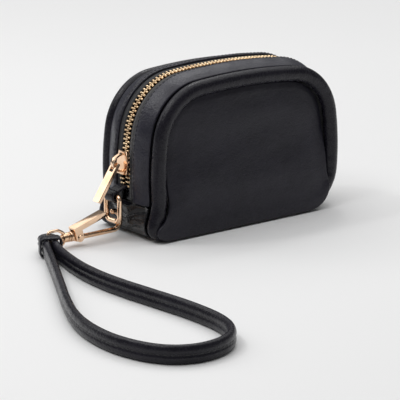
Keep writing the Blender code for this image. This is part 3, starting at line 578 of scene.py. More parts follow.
@dataclass(frozen=True)
class Leather:
    """Smooth black leather with a fine pebbled grain, soft creases and slightly uneven gloss."""

    name: str
    dark: tuple[float, float, float]
    light: tuple[float, float, float]
    gloss: float
    spread: float
    grain: float
    sheen: float
    shine: float
    pebble_scale: float = 1250.0
    pore_scale: float = 5200.0
    cloud_scale: float = 42.0
    crease_scale: float = 260.0
    crease_depth: float = 0.0003
    grain_depth: float = 0.00012

    def material(self) -> bpy.types.Material:
        """Pebble cells, finer pores and broad clouds feed colour, roughness and two bumps."""
        nodes = Nodes(self.name)
        place = nodes.object_place()
        warp = nodes.add("ShaderNodeVectorMath", {"operation": "MULTIPLY_ADD"},
                         {0: nodes.add("ShaderNodeTexNoise", {}, {"Vector": place, "Scale": 900.0}, "Color"),
                          1: (0.0006, 0.0006, 0.0006), 2: place})
        pebble = nodes.cells(warp, self.pebble_scale)
        pores = nodes.noise(place, self.pore_scale, 3.0, 0.6)
        clouds = nodes.noise(place, self.cloud_scale, 4.0)
        crease = nodes.noise(place, self.crease_scale, 5.0, 0.6)
        tone = nodes.stretched(clouds * 0.6 + crease * 0.4, 0.32, 0.72)
        colour = nodes.colours(tone, self.dark, self.light)
        rough = self.gloss + self.spread * (clouds - 0.5) + 0.10 * pebble * self.grain + 0.05 * (crease - 0.5)
        soft = nodes.bump(crease, 0.5 * self.grain, self.crease_depth)
        fine = nodes.bump(pebble + pores * 0.35, 0.60 * self.grain, self.grain_depth, soft)
        return nodes.finish(Base_Color=colour, Roughness=rough, Normal=fine, Sheen_Weight=self.sheen,
                            Sheen_Roughness=0.45, Sheen_Tint=(0.75, 0.8, 1.0, 1.0),
                            Specular_IOR_Level=self.shine)


@dataclass(frozen=True)
class Gold:
    """Polished plated metal with faint brushing, tarnish in broad patches and tiny dents."""

    name: str = "light_gold"
    bright: tuple[float, float, float] = (0.96, 0.70, 0.50)
    deep: tuple[float, float, float] = (0.82, 0.52, 0.32)
    gloss: float = 0.13
    dent_depth: float = 0.0004
    brush_depth: float = 0.00005

    def material(self) -> bpy.types.Material:
        """Broad clouds tint the plating; fine noise feeds roughness and a shallow bump."""
        nodes = Nodes(self.name)
        place = nodes.object_place()
        clouds = nodes.noise(place, 120.0, 3.0)
        fine = nodes.noise(place, 2600.0, 4.0, 0.65)
        swirl = nodes.noise(place, 520.0, 2.0)
        colour = nodes.colours(nodes.stretched(clouds, 0.35, 0.7), self.bright, self.deep)
        rough = self.gloss + 0.10 * (fine - 0.5) + 0.08 * (clouds - 0.4)
        dents = nodes.bump(swirl, 0.10, self.dent_depth)
        brushed = nodes.bump(fine, 0.05, self.brush_depth, dents)
        return nodes.finish(Base_Color=colour, Roughness=rough, Metallic=1.0, Normal=brushed)


@dataclass(frozen=True)
class Weave:
    """Woven cloth: two crossing sets of threads on the piece's own map, or on object coordinates."""

    name: str
    dark: tuple[float, float, float]
    light: tuple[float, float, float]
    pitch: float
    mapped: bool = True
    gloss: float = 0.75
    depth: float = 0.00018

    def material(self) -> bpy.types.Material:
        """Sine bands each way are multiplied into a basket pattern that feeds colour and bump."""
        nodes = Nodes(self.name)
        place = nodes.cut_place() if self.mapped else nodes.object_place()
        size = 1.0 if self.mapped else 1000.0
        along, across, up = nodes.split(place)
        wave = 2 * math.pi * size / self.pitch
        warp, weft = ((way * wave).sine() for way in (along, across if self.mapped else up))
        basket = warp * weft * 0.5 + 0.5
        fibre = nodes.noise(place, 9.0 * size, 4.0, 0.7)
        share = basket * 0.6 + fibre * 0.4
        colour = nodes.colours(share, self.dark, self.light)
        bump = nodes.bump(basket + 0.5 * fibre, 0.5, self.depth)
        return nodes.finish(Base_Color=colour, Roughness=self.gloss + 0.15 * (fibre - 0.5), Normal=bump,
                            Sheen_Weight=0.2)


@dataclass(frozen=True)
class Thread:
    """Waxed sewing thread with a twist."""

    name: str = "black_thread"
    dark: tuple[float, float, float] = (0.012, 0.012, 0.014)
    light: tuple[float, float, float] = (0.05, 0.05, 0.055)

    def material(self) -> bpy.types.Material:
        """Slanted bands from the map give the twist."""
        nodes = Nodes(self.name)
        along, across, _ = nodes.split(nodes.cut_place())
        twist = (along * 14.0 + across * 5.0).sine() * 0.5 + 0.5
        colour = nodes.colours(twist, self.dark, self.light)
        return nodes.finish(Base_Color=colour, Roughness=0.35 + 0.15 * twist,
                            Normal=nodes.bump(twist, 0.3, 0.0001))


@dataclass(frozen=True)
class Felt:
    """Foam or cotton filling: clumped fibres."""

    name: str
    dark: tuple[float, float, float]
    light: tuple[float, float, float]

    def material(self) -> bpy.types.Material:
        """Two noises feed colour and bump."""
        nodes = Nodes(self.name)
        place = nodes.object_place()
        clump = nodes.noise(place, 700.0, 5.0, 0.7)
        fine = nodes.noise(place, 4000.0, 3.0, 0.7)
        colour = nodes.colours(clump, self.dark, self.light)
        return nodes.finish(Base_Color=colour, Roughness=0.85 + 0.1 * fine,
                            Normal=nodes.bump(clump + fine * 0.5, 0.6, 0.0003))


@dataclass
class Finishes:
    """All the finishes, made once."""

    leather: bpy.types.Material = field(default_factory=Leather(
        "panel_leather", dark=(0.0092, 0.0085, 0.0140), light=(0.0215, 0.0200, 0.0300), gloss=0.38,
        spread=0.14, grain=1.5, sheen=0.03, shine=0.34).material)
    edge: bpy.types.Material = field(default_factory=Leather(
        "rolled_leather", dark=(0.0066, 0.0060, 0.0098), light=(0.0155, 0.0142, 0.0215), gloss=0.22,
        spread=0.12, grain=1.3, sheen=0.01, shine=0.27).material)
    # Facing leather: a lighter, bluer copy of the black leather, which paints the sheen on the strip beside
    # the zip.
    strip: bpy.types.Material = field(default_factory=Leather(
        "facing_leather", dark=(0.0120, 0.0115, 0.0190), light=(0.0300, 0.0290, 0.0430), gloss=0.26,
        spread=0.16, grain=1.6, sheen=0.04, shine=0.42).material)
    # Gusset leather: a darker copy of the black leather, which paints the shade on the recessed underside of
    # the pouch.
    creased: bpy.types.Material = field(default_factory=Leather(
        "gusset_leather", dark=(0.006, 0.006, 0.008), light=(0.015, 0.015, 0.018), gloss=0.20,
        spread=0.12, grain=0.9, sheen=0.01, shine=0.4).material)
    gold: bpy.types.Material = field(default_factory=Gold().material)
    teeth: bpy.types.Material = field(default_factory=Gold(
        "zip_gold", bright=(0.88, 0.68, 0.44), deep=(0.62, 0.43, 0.25), gloss=0.26).material)
    tape: bpy.types.Material = field(default_factory=Weave(
        "zip_tape_weave", dark=(0.006, 0.006, 0.007), light=(0.022, 0.022, 0.026), pitch=0.55).material)
    lining: bpy.types.Material = field(default_factory=Weave(
        "lining_weave", dark=(0.012, 0.012, 0.014), light=(0.04, 0.04, 0.045), pitch=0.4,
        mapped=False).material)
    foam: bpy.types.Material = field(default_factory=Felt(
        "padding_foam", dark=(0.25, 0.25, 0.26), light=(0.5, 0.5, 0.52)).material)
    cotton: bpy.types.Material = field(default_factory=Felt(
        "filler_cotton", dark=(0.5, 0.47, 0.42), light=(0.75, 0.72, 0.66)).material)
    thread: bpy.types.Material = field(default_factory=Thread().material)


def dress(piece: bpy.types.Object, finish: bpy.types.Material, body: str, *stands_for: str,
          slot: str = "") -> None:
    """Give a piece its finish, its body and the CAD nodes it stands for.

    Args:
        piece: New piece.
        finish: Its material.
        body: Body it moves with.
        stands_for: CAD nodes that it replaces.
        slot: Not used.
    """
    piece.data.materials.clear()
    piece.data.materials.append(finish)
    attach(piece, body)
    if stands_for:
        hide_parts(*stands_for)
    LOG.info("%s: %d faces on %s", piece.name, len(piece.data.polygons), body)


def repaint(frame: dict, finish: bpy.types.Material, *nodes: str) -> None:
    """Give carried CAD nodes a better finish.

    Args:
        frame: The loaded frame.
        finish: Material to give.
        nodes: CAD node names.
    """
    for name in nodes:
        for place in frame["nodes"][name].material_slots:
            place.material = finish
        LOG.info("%s: new finish %s", name, finish.name)


# ---------------------------------------------------------------- the pouch


@dataclass
class Outline:
    """Dome outline of the pouch, seen from the front, made of four tangent arcs on each half."""

    width: float = 120.0
    height: float = 78.5
    widest: float = 30.3
    crown: float = 311.0
    shoulder: float = 31.0
    side: float = 134.0
    foot: float = 22.3
    left_foot: float = 13.0
    flare: float = 7.0
    flare_top: float = 21.0

    def half(self, grow: float, foot_radius: float) -> Array:
        """Right half of the outline from the middle of the base to the top.

        Each arc's centre is found where its distance from its two neighbours is the difference of radii.

        Args:
            grow: Distance outwards.
            foot_radius: Radius of the foot's corner.

        Returns:
            Points (x, z).
        """
        crown = np.array([0.0, self.height - self.crown])
        side = np.array([self.width / 2 - self.side, self.widest])
        apart = side - crown
        reach = np.linalg.norm(apart)
        first, second = self.crown - self.shoulder, self.side - self.shoulder
        along = (first ** 2 - second ** 2 + reach ** 2) / (2 * reach)
        unit = apart / reach
        shoulder = crown + unit * along + np.array([unit[1], -unit[0]]) * math.sqrt(first ** 2 - along ** 2)
        drop = foot_radius - self.widest
        foot = np.array([side[0] + math.sqrt((self.side - foot_radius) ** 2 - drop ** 2), foot_radius])
        low, high, top = (math.degrees(math.atan2(*(b - a)[::-1]))
                          for a, b in ((side, foot), (side, shoulder), (crown, shoulder)))
        return np.vstack([[[0.0, -grow]], arc(tuple(foot), foot_radius + grow, -90, low, 60),
                          arc(tuple(side), self.side + grow, low, high, 60)[1:],
                          arc(tuple(shoulder), self.shoulder + grow, high, top, 80)[1:],
                          arc(tuple(crown), self.crown + grow, top, 90, 40)[1:]])

    def loop(self, grow: float = 0.0, count: int = 720) -> tuple[Array, Array]:
        """Closed outline anticlockwise from the middle of the base, moved outwards by grow.

        The left half is the mirrored half with a tighter foot, moved outwards towards the base.

        Args:
            grow: Distance outwards.
            count: Number of points.

        Returns:
            Points (x, z) and unit vectors outwards.
        """
        left = (self.half(grow, self.left_foot) * [-1, 1])[-2:0:-1]
        left[:, 0] -= self.flare * (1 - ease(left[:, 1], 0.0, self.flare_top))
        whole = np.vstack([self.half(grow, self.foot), left])
        points = even(whole, count, True)
        return points, beside(headings(points, True))

    def stretch(self, grow: float, level: float, count: int, above: bool = True) -> tuple[Array, Array]:
        """Part of the outline above a height over the crown, or below it under the base.

        Args:
            grow: Distance outwards.
            level: Height where it stops at both ends.
            count: Number of points.
            above: Which part to keep.

        Returns:
            Points (x, z) from the right end over the crown, or from the left end under the base, and
            unit vectors outwards.
        """
        points, out = self.loop(grow, 2880)
        start = 0 if above else int(np.argmax(points[:, 1]))
        points, out = np.roll(points, -start, 0), np.roll(out, -start, 0)
        keep = points[:, 1] >= level if above else points[:, 1] <= level
        points = even(points[keep], count)
        return points, beside(headings(points))


def upright(points: Array, depth: Array | float = 0.0) -> Array:
    """Points (x, z) set in space at a depth: (x, depth, z)."""
    return np.stack([points[:, 0], np.broadcast_to(depth, len(points)), points[:, 1]], axis=1)


def swept(name: str, path: Array, out: Array, hand: float, section: Array,
          ring: bool = False) -> bpy.types.Object:
    """Piece made by carrying a section along a path in the XZ plane.

    Args:
        name: Name of the piece.
        path: Stations (x, z) in millimetres.
        out: Unit vector (x, z) for the section's first number at each station.
        hand: 1 or -1, the Y direction of its second number.
        section: One section (points, 2), or one for each station.
        ring: Whether the path returns to its start.

    Returns:
        The piece.
    """
    sideways = np.tile([0.0, hand, 0.0], (len(path), 1))
    return mesh_from(name, carried(upright(path), upright(out), sideways, section)[None], ring)


@dataclass
class Pouch:
    """Padded front and back, their rolled edges, the facings beside the zip and the gusset below."""

    outline: Outline
    finishes: Finishes
    gusset_half: float = 16.2
    roll_width: float = 7.8
    roll_depth: float = 6.8
    roll_wall: float = 1.1
    leather: float = 1.2
    facing_end: float = 17.5
    foot_inset: float = 0.8
    foot_height: float = 19.0
    edge_turn: tuple[float, ...] = (0.9, 0.35, 0.08)
    gusset_end: float = 24.0
    seat: float = 18.6
    bulge: float = 6.4
    bulge_top: float = 50.0
    gap: float = 0.3

    @property
    def roll_centre(self) -> float:
        """Depth of the middle of a rolled edge."""
        return self.gusset_half + self.gap + self.roll_depth / 2

    def build(self, frame: dict) -> None:
        """Make every leather piece of the pouch and dress the ones hidden inside.

        Args:
            frame: The loaded frame.
        """
        for side in Side:
            self.panel(side)
            self.roll(side)
            self.facing(side)
        self.gusset()
        repaint(frame, self.finishes.lining, "front_lining", "back_lining", "gusset_lining",
                "front_arch_lining", "back_arch_lining", "card_pocket")
        repaint(frame, self.finishes.foam, "front_padding", "back_padding")
        repaint(frame, self.finishes.cotton, "front_roll_cord", "back_roll_cord")

    def clear_of_edge(self, points: Array, loop: Array) -> Array:
        """Distance from each point to the nearest outline point.

        Args:
            points: Points (x, z).
            loop: Outline points.

        Returns:
            Distances in millimetres.
        """
        flat = points.reshape(-1, 2)
        gaps = np.linalg.norm(flat[:, None, :] - loop[None, ::3, :], axis=2)
        return gaps.min(axis=1).reshape(points.shape[:-1])

    def panel_depth(self, points: Array, loop: Array) -> Array:
        """Depth of a panel's face.

        The seat depth, plus a bulge that grows towards the foot, plus a slight crown, less a valley beside
        the roll. Near the foot it is the smooth greater of that and the roll's own elliptical surface.

        Args:
            points: Points (x, z) on the panel.
            loop: Outline points.

        Returns:
            Depths in millimetres.
        """
        height = points[..., 1]
        inset = self.clear_of_edge(points, loop)
        depth = self.seat + self.bulge * (1 - ease(height, 0.0, self.bulge_top))
        half = self.roll_width / 2
        rolled = np.sqrt(np.clip(1 - ((inset - half) / (half + 1.6)) ** 2, 0.0, 1.0))
        over = self.roll_centre + self.roll_depth / 2 * rolled + self.gap + self.leather
        over = over - 9.0 * ease(height, 12.0, 24.0)
        over = over - 9.0 * ease(inset, self.roll_width, self.roll_width + 9.0)
        shelf = 0.5 * (depth + over + np.sqrt((depth - over) ** 2 + 0.35))
        padded = 1.3 * ease(inset, self.roll_width, self.roll_width + 16.0) * ease(height, 4.0, 30.0)
        valley = 0.7 * (1 - ease(inset, self.roll_width, self.roll_width + 4.0)) * ease(height, 30.0, 44.0)
        dents = ripple(points[..., 0] + 0.4 * height, ((0.10, 47.0, 0.7), (0.06, 23.0, 2.1)))
        dents = dents + ripple(height - 0.3 * points[..., 0], ((0.09, 39.0, 1.3), (0.05, 17.0, 0.2)))
        return shelf + padded - valley + dents * ease(inset, self.roll_width, self.roll_width + 10.0)

    def panel(self, side: Side) -> None:
        """Padded leather panel: rings from its edge towards its middle, given depth by panel_depth.

        A ring is middle + (edge - middle) * share; a wall of leather is made by repeating the rings inwards.

        Args:
            side: Front or back.
        """
        loop, out = self.outline.loop(0.0, 480)
        wider = self.roll_width + self.gap - self.foot_inset
        inset = self.foot_inset + wider * ease(loop[:, 1], 0.0, self.foot_height)
        edge = loop - out * inset[:, None]
        middle = np.array([0.0, self.outline.height * 0.45])
        shares = np.r_[1.0, 0.996, 0.99, np.linspace(0.98, 0.02, 56)]
        flat = middle + (edge[None] - middle) * shares[:, None, None]
        depth = self.panel_depth(flat, loop)
        turned_in = np.zeros(len(shares))
        turned_in[:len(self.edge_turn)] = self.edge_turn
        depth = depth - turned_in[:, None]
        grid = np.stack([flat[..., 0], -side.value * depth, flat[..., 1]], axis=-1)
        back = np.stack([flat[..., 0], -side.value * (depth - self.leather), flat[..., 1]], axis=-1)
        back[0] = back[1]
        whole = np.concatenate([grid[::-1], back[1:]], axis=0)
        made = mesh_from(f"{side.word}_padded_panel", whole[None])
        dress(made, self.finishes.leather, "pouch", f"{side.word}_panel", slot="black_leather")

    def roll(self, side: Side) -> None:
        """Rolled edge: a C of leather, open at its seam, carried round the outline with slight puckers.

        The C is an ellipse of the roll's width and depth over 340 degrees, then the same less the leather,
        backwards.

        Args:
            side: Front or back.
        """
        loop, out = self.outline.loop(0.0, 480)
        travelled = np.arange(len(loop)) * np.linalg.norm(loop[1] - loop[0])
        tight = 1 - ease(loop[:, 1], 10.0, 30.0)
        swell = ripple(travelled, ((0.07, 9.0, 0.3), (0.05, 5.3, 1.1))) * (0.5 + 1.2 * tight)
        seam, full_turn, outside, inside = 235, 340, 34, 22
        outer = np.radians(np.linspace(seam, seam + full_turn, outside))
        inner = np.radians(np.linspace(seam + full_turn, seam, inside))
        turn = np.r_[outer, inner]
        wall = np.r_[np.zeros(outside), np.full(inside, self.roll_wall)]
        wide = (self.roll_width / 2 - wall) * np.cos(turn) - self.roll_width / 2
        deep = (self.roll_depth / 2 - wall) * np.sin(turn)
        section = np.stack([wide, deep], axis=1)[None] * (1 + swell[:, None, None] / (self.roll_width / 2))
        section = section * [1.0, side.value] + [0.0, side.value * self.roll_centre]
        section[..., 0] = np.minimum(section[..., 0], 0.0)
        made = swept(f"{side.word}_rolled_edge", loop, out, -1.0, section, ring=True)
        dress(made, self.finishes.edge, "pouch", f"{side.word}_roll", slot="black_leather")

    def facing(self, side: Side) -> None:
        """Facing beside the zip: a curved strip with a turned, stitched edge, carried over the arch.

        Its outer line is a rounded line through (rise, distance from the middle); the inner line lies one
        leather lower.

        Args:
            side: Front or back.
        """
        path, out = self.outline.stretch(0.0, self.facing_end, 520)
        line = rounded_line(np.array([(2.05, 6.45), (2.55, 7.1), (2.35, 9.5), (1.25, 13.0),
                                      (-0.45, 16.15)]), 5)
        under = line[::-1] - [1.0, 0.0]
        under[-1] = (1.7, 6.55)
        section = np.vstack([line, under])
        travelled = travel(path)
        across = ease(section[:, 1], 7.5, 10.0) * (1 - ease(section[:, 1], 13.0, 16.0))
        soft = ripple(travelled, ((0.10, 21.0, 0.4), (0.07, 12.5, 2.0)))[:, None] * across[None]
        pull = ripple(travelled, ((0.05, 3.1, 0.0),))[:, None] * (1 - ease(section[:, 1], 7.6, 9.0))[None]
        section = np.broadcast_to(section, (len(path), *section.shape)).copy()
        section[..., 0] += soft + pull
        made = swept(f"{side.word}_zip_facing", path, out, -side.value, section)
        # Its leather is a lighter, bluer copy of the panel leather: painted sheen.
        dress(made, self.finishes.strip, "pouch", f"{side.word}_facing", slot="black_leather")
        self.seam(side, 7.65, 2.52, "edge_seam")

    def seam(self, side: Side, apart: float, rise: float, word: str) -> None:
        """Row of stitches over the arch, 2.8 mm apart.

        Args:
            side: Front or back.
            apart: Distance from the middle of the zip.
            rise: Height over the outline.
            word: Last part of the name.
        """
        path, out = self.outline.stretch(rise, self.facing_end + 1.0, 92)
        along, lift = upright(headings(path)), upright(out)
        made = stitches(f"{side.word}_{word}", upright(path, -side.value * apart), along, lift, 2.1, 0.27)
        dress(made, self.finishes.thread, "pouch", slot="black_leather")

    def gusset(self) -> None:
        """Gusset strip under the pouch and up to the zip's ends, creased at both ends.

        The creases are slanting sines of the distance along and across, strongest at the ends.
        """
        path, out = self.outline.stretch(0.0, self.gusset_end, 460, above=False)
        narrow = ease(path[:, 1], 16.2, 17.4)[:, None]
        sides = np.linspace(-self.gusset_half, self.gusset_half, 61)
        across = sides[None] * (1 - 0.24 * narrow)
        travelled = travel(path)
        near_end = 1 - ease(np.minimum(travelled, travelled[-1] - travelled), 22.0, 36.0)
        free = 1 - np.abs(sides / self.gusset_half) ** 6
        slant = travelled[:, None] + 0.35 * np.abs(sides)[None] + 0.8 * np.sin(sides / 4.0)[None]
        folds = ripple(slant, ((0.55, 8.5, 0.6), (0.30, 5.2, 1.9), (0.12, 2.9, 0.3)))
        sink = (folds - 0.75) * near_end[:, None] * free[None] - 0.9 * narrow
        top = np.stack([np.minimum(sink, 0.0), across], axis=-1)
        low = top[:, ::-1] - [self.leather, 0.0]
        section = np.concatenate([top, low], axis=1)
        made = swept("creased_gusset", path, out, -1.0, section)
        # Its leather is a darker copy of the panel leather: painted shade under the pouch.
        dress(made, self.finishes.creased, "pouch", "lower_gusset", slot="black_leather")


@dataclass
class Zip:
    """Metal teeth on woven tapes over the arch."""

    outline: Outline
    finishes: Finishes
    rise: float = 1.05
    pitch: float = 2.2
    end_height: float = 21.0
    slider_height: float = 37.0
    parting: float = 0.45
    spread: float = 1.05
    tape_thickness: float = 0.5

    def build(self, frame: dict) -> None:
        """Make the tapes and both rows of teeth.

        Args:
            frame: The loaded frame.
        """
        for side in Side:
            self.tape(side)
            self.teeth(side)
        repaint(frame, self.finishes.teeth, "zip_stop")

    def tape(self, side: Side) -> None:
        """Woven tape: a thin rectangle carried over the arch from beside the teeth to under the facing.

        Args:
            side: Front or back.
        """
        path, out = self.outline.stretch(0.0, self.end_height - 2.0, 420)
        across = np.array([2.85, 4.5, 6.0, 8.6])
        half = self.tape_thickness / 2
        rise = np.repeat([self.rise + half, self.rise - half], len(across))
        section = np.column_stack([rise, np.r_[across, across[::-1]]])
        made = swept(f"{side.word}_woven_tape", path, out, -side.value, section)
        dress(made, self.finishes.tape, "pouch", f"{side.word}_tape", slot="zip_tape")

    def teeth(self, side: Side) -> None:
        """Row of teeth: each is a rounded block from its tape to just past the middle, narrow at its head.

        A tooth's ring is a superellipse (|cos|^0.6, |sin|^0.6 with signs) scaled by a half width along the
        zip and a half thickness. Rings stand at set distances across the zip. Below the slider the rows part.

        Args:
            side: Front or back.
        """
        points, _ = self.outline.stretch(self.rise, self.end_height, 4000)
        stations = travel(points)
        start = 0.0 if side is Side.FRONT else self.pitch / 2
        wanted = start + self.pitch * np.arange(int(stations[-1] / self.pitch))
        place = np.stack([np.interp(wanted, stations, points[:, axis]) for axis in (0, 1)], axis=1)
        way = headings(place)
        out = upright(beside(way))
        across = np.array([2.62, 2.45, 1.9, 1.1, 0.7, 0.2, -0.35, -0.7, -0.85])
        wide = np.array([0.26, 0.46, 0.52, 0.44, 0.36, 0.44, 0.46, 0.38, 0.2])
        thick = np.array([0.5, 0.85, 1.12, 1.10, 0.85, 0.92, 0.95, 0.75, 0.45])
        ring = blunt(circle(10, math.pi / 10), 0.6)
        left = np.where(place[:, 0] < 0, place[:, 1], self.slider_height)
        near = ease(left, self.end_height + 1.0, self.end_height + 9.0)
        below = left < self.slider_height - 2.0
        shift = np.where(below, self.parting + self.spread * near, 0.0)[:, None, None, None]
        middle = upright(place)[:, None, None, :]
        depth = np.array([0.0, -side.value, 0.0])
        blocks = (middle + depth * (across[None, :, None, None] + shift)
                  + upright(way)[:, None, None, :] * (wide[:, None] * ring[:, 0])[None, :, :, None]
                  + out[:, None, None, :] * (thick[:, None] * ring[:, 1])[None, :, :, None])
        made = mesh_from(f"{side.word}_tooth_row", blocks)
        dress(made, self.finishes.teeth, "pouch", f"{side.word}_teeth", slot="light_gold")


# ---------------------------------------------------------------- the fittings


@dataclass
class Fittings:
    """Slider and pull, tab and D ring, clasp with its gate, eye and collar."""

    finishes: Finishes
    ring_x: float = -69.0
    ring_z: float = 21.3
    pin: tuple[float, float] = (-90.4, 4.3)
    swivel_z: float = 5.1
    collar_x: float = -95.5
    tab_radius: float = 2.4
    tab_half: tuple[float, float] = (0.65, 3.6)
    ring_width: float = 11.0
    ring_drop: float = 12.4
    ring_wire: float = 1.3
    pull_hinge: tuple[float, float] = (-67.112, 36.943)
    pull_lean: float = 34.0
    pull_width: float = 5.4
    pull_length: float = 21.6
    pull_half: float = 0.85
    pull_top: float = 0.65
    pull_bevel: float = 0.22
    hook_wire: float = 1.3
    hook_radius: float = 4.2
    tongue_half: float = 1.2
    collar_length: float = 4.0
    eye_width: float = 8.8
    eye_length: float = 9.0
    eye_wire: float = 0.8
    soft_edge: float = 0.28

    def build(self, frame: dict) -> None:
        """Make the fittings and dress the small CAD pieces between them.

        Args:
            frame: The loaded frame.
        """
        self.tab()
        self.ring()
        self.pull()
        self.hook()
        self.eye()
        for node, word, body in (("zip_slider", "rounded_slider", "slider"),
                                 ("clasp_gate", "rounded_gate", "gate")):
            self.plated(softened(frame, node, word, self.soft_edge), body, node)
        repaint(frame, self.finishes.gold, "gate_pin", "gate_spring", "swivel_post")

    def plated(self, piece: bpy.types.Object, body: str, node: str) -> None:
        """Dress a gold piece.

        Args:
            piece: New piece.
            body: Body it moves with.
            node: CAD node that it replaces.
        """
        dress(piece, self.finishes.gold, body, node, slot="light_gold")

    def tab(self) -> None:
        """Leather tab folded round the ring's bar: a rounded rectangle carried along its folded line."""
        path = np.vstack([[(-62.85, self.ring_z + 4.4), (-66.4, self.ring_z + 3.2)],
                          arc((self.ring_x, self.ring_z), self.tab_radius, 80, 280, 14),
                          [(-66.4, self.ring_z - 3.2), (-60.6, self.ring_z - 4.6)]])
        path = even(rounded_line(path, 6), 70)
        thick, wide = self.tab_half
        cosine, sine = circle(28).T
        section = np.stack([thick * blunt(sine, 0.55), wide * blunt(cosine, 0.25)], axis=1)
        made = swept("folded_tab", path, beside(headings(path)), 1.0, section)
        dress(made, self.finishes.edge, "pouch", "ring_tab", slot="black_leather")

    def ring(self) -> None:
        """D ring: a round wire on a rounded rectangle in the YZ plane, with wider corners at its foot."""
        wide, foot, top, count = self.ring_width / 2, 3.2, 1.8, 150
        low = foot - self.ring_drop
        loop = np.vstack([arc((wide - foot, low), foot, -90, 0, 14), arc((wide - top, -top), top, 0, 90, 10),
                          arc((-wide + top, -top), top, 90, 180, 10),
                          arc((-wide + foot, low), foot, 180, 270, 14)])
        loop = even(loop, count, True)
        line = np.column_stack([np.full(count, self.ring_x), loop[:, 0], self.ring_z + loop[:, 1]])
        out = np.column_stack([np.zeros(count), beside(headings(loop, True))])
        sideways = np.tile([1.0, 0.0, 0.0], (count, 1))
        grid = carried(line, out, sideways, self.ring_wire * circle(24))
        self.plated(mesh_from("round_d_ring", grid[None], ring=True), "ring", "d_ring")

    def pull(self) -> None:
        """Zip pull: a flat bar with a slot near its top, cut as one outline round a bridge of metal.

        The outline goes round the outside and returns round the slot, so it is a ring of quads.
        """
        outer = rounded_loop(self.pull_width, self.pull_length, 0.7,
                             (0.0, self.pull_top - self.pull_length / 2), 96)
        slot_width, slot_length = 3.0, 3.8
        slot = rounded_loop(slot_width, slot_length, 0.45, (0.0, -self.pull_top - slot_length / 2), 96)
        angle = math.radians(self.pull_lean)
        down = np.array([math.sin(angle), 0.0, math.cos(angle)])
        right = np.array([0.0, 1.0, 0.0])
        normal = np.cross(right, down)
        origin = np.array([self.pull_hinge[0], 0.0, self.pull_hinge[1]])

        def lay(line: Array, lift: float) -> Array:
            """Put a flat line on the pull's plane, lifted along its normal."""
            return origin + line[:, 0:1] * right + line[:, 1:2] * down + normal * lift

        half, bevel = self.pull_half, self.pull_bevel
        narrow = outer * [1 - 2 * bevel / self.pull_width, 1.0]
        layers = ((slot, -half), (narrow, -half), (outer, bevel - half),
                  (outer, half - bevel), (narrow, half), (slot, half))
        grid = np.stack([lay(line, lift) for line, lift in layers], axis=1)
        made = mesh_from("flat_pull", grid[None], ring=True)
        made.data.polygons.foreach_set("use_smooth", [False] * len(made.data.polygons))
        self.plated(made, "pull", "zip_pull")

    def hook(self) -> None:
        """Clasp body: a round wire from the tongue round the ring's foot, with its tongue and head.

        The wire ends in a dome: near its tip the radius is sqrt(1 - (1 - distance / radius)^2) of the full
        one.
        """
        radius, wire_radius = self.hook_radius, self.hook_wire
        arm_z = self.ring_z - self.ring_drop - radius - 0.6
        bend = (self.ring_x - 0.2, arm_z + radius)
        line = np.vstack([[(self.pin[0] + 1.0, self.pin[1] - 0.3), (self.pin[0] + 8.0, arm_z - 0.1)],
                          arc(bend, radius, -90, 0, 24), arc((bend[0], bend[1] + 1.0), radius, 0, 110, 30)])
        line = even(line, 160)
        left = travel(line)[::-1]
        taper = np.sqrt(np.clip(1 - np.clip(1 - left / wire_radius, 0.0, 0.98) ** 2, 0.0, 1.0))
        self.plated(wire("clasp_hook", line, wire_radius * taper), "clasp", "clasp_body")
        nose, neck = 2.4, -4.0
        outline = np.vstack([arc((0.0, 0.0), nose, -90, 90, 24), [(neck, 2.8), (neck, -1.2)]])
        tongue = plate("clasp_tongue", outline, self.tongue_half, np.array([self.pin[0], 0.0, self.pin[1]]),
                       np.array([1.0, 0.0, 0.0]), np.array([0.0, 0.0, 1.0]))
        bevelled(tongue, 0.3)
        self.plated(tongue, "clasp", "clasp_body")
        profile = np.array([(0.0, 2.1), (0.0, 2.2), (0.22, 2.45), (0.5, 2.5), (0.8, 2.5), (1.08, 2.45),
                            (1.3, 2.2), (1.3, 2.1)])
        head = turned("clasp_head", profile, (self.collar_x + 0.3, self.swivel_z))
        self.plated(head, "clasp", "clasp_body")

    def eye(self) -> None:
        """Swivel eye: round wire on a rounded loop, and a turned collar with a groove round its neck."""
        middle_x = self.collar_x - self.collar_length + self.eye_wire - self.eye_length / 2
        corners = rounded_loop(self.eye_width, self.eye_length, 1.5, (0.0, 0.0), 130)
        wide = 1 - 0.34 * ease(corners[:, 1], 0.5, 4.4)
        line = np.stack([middle_x + corners[:, 1], self.swivel_z - corners[:, 0] * wide], axis=1)
        self.plated(wire("swivel_loop", even(line, 150, True), self.eye_wire, True), "eye", "swivel_eye")
        end = -self.collar_length
        profile = np.array([(end, 1.2), (end, 1.6), (-3.85, 1.9), (-3.4, 2.1), (-2.4, 2.32), (-1.9, 2.38),
                            (-1.75, 2.3), (-1.7, 1.75), (-1.1, 1.75), (-1.05, 2.3), (-0.9, 2.4), (-0.2, 2.4),
                            (0.0, 2.2), (0.0, 1.2)])
        self.plated(turned("swivel_collar", profile, (self.collar_x, self.swivel_z)), "eye", "swivel_eye")


def rounded_loop(width: float, height: float, radius: float, centre: tuple[float, float],
                 count: int) -> Array:
    """Rounded rectangle anticlockwise from its lower right corner: four quarter arcs joined by sides.

    Args:
        width: Full width.
        height: Full height.
        radius: Corner radius.
        centre: Its middle.
        count: Number of points.

    Returns:
        Points (count, 2).
    """
    x, y = width / 2 - radius, height / 2 - radius
    corners = [arc((centre[0] + right * x, centre[1] + up * y), radius, start, start + 90, 8)
               for right, up, start in ((1, -1, -90), (1, 1, 0), (-1, 1, 90), (-1, -1, 180))]
    return even(np.vstack(corners), count, True)


# ---------------------------------------------------------------- the strap


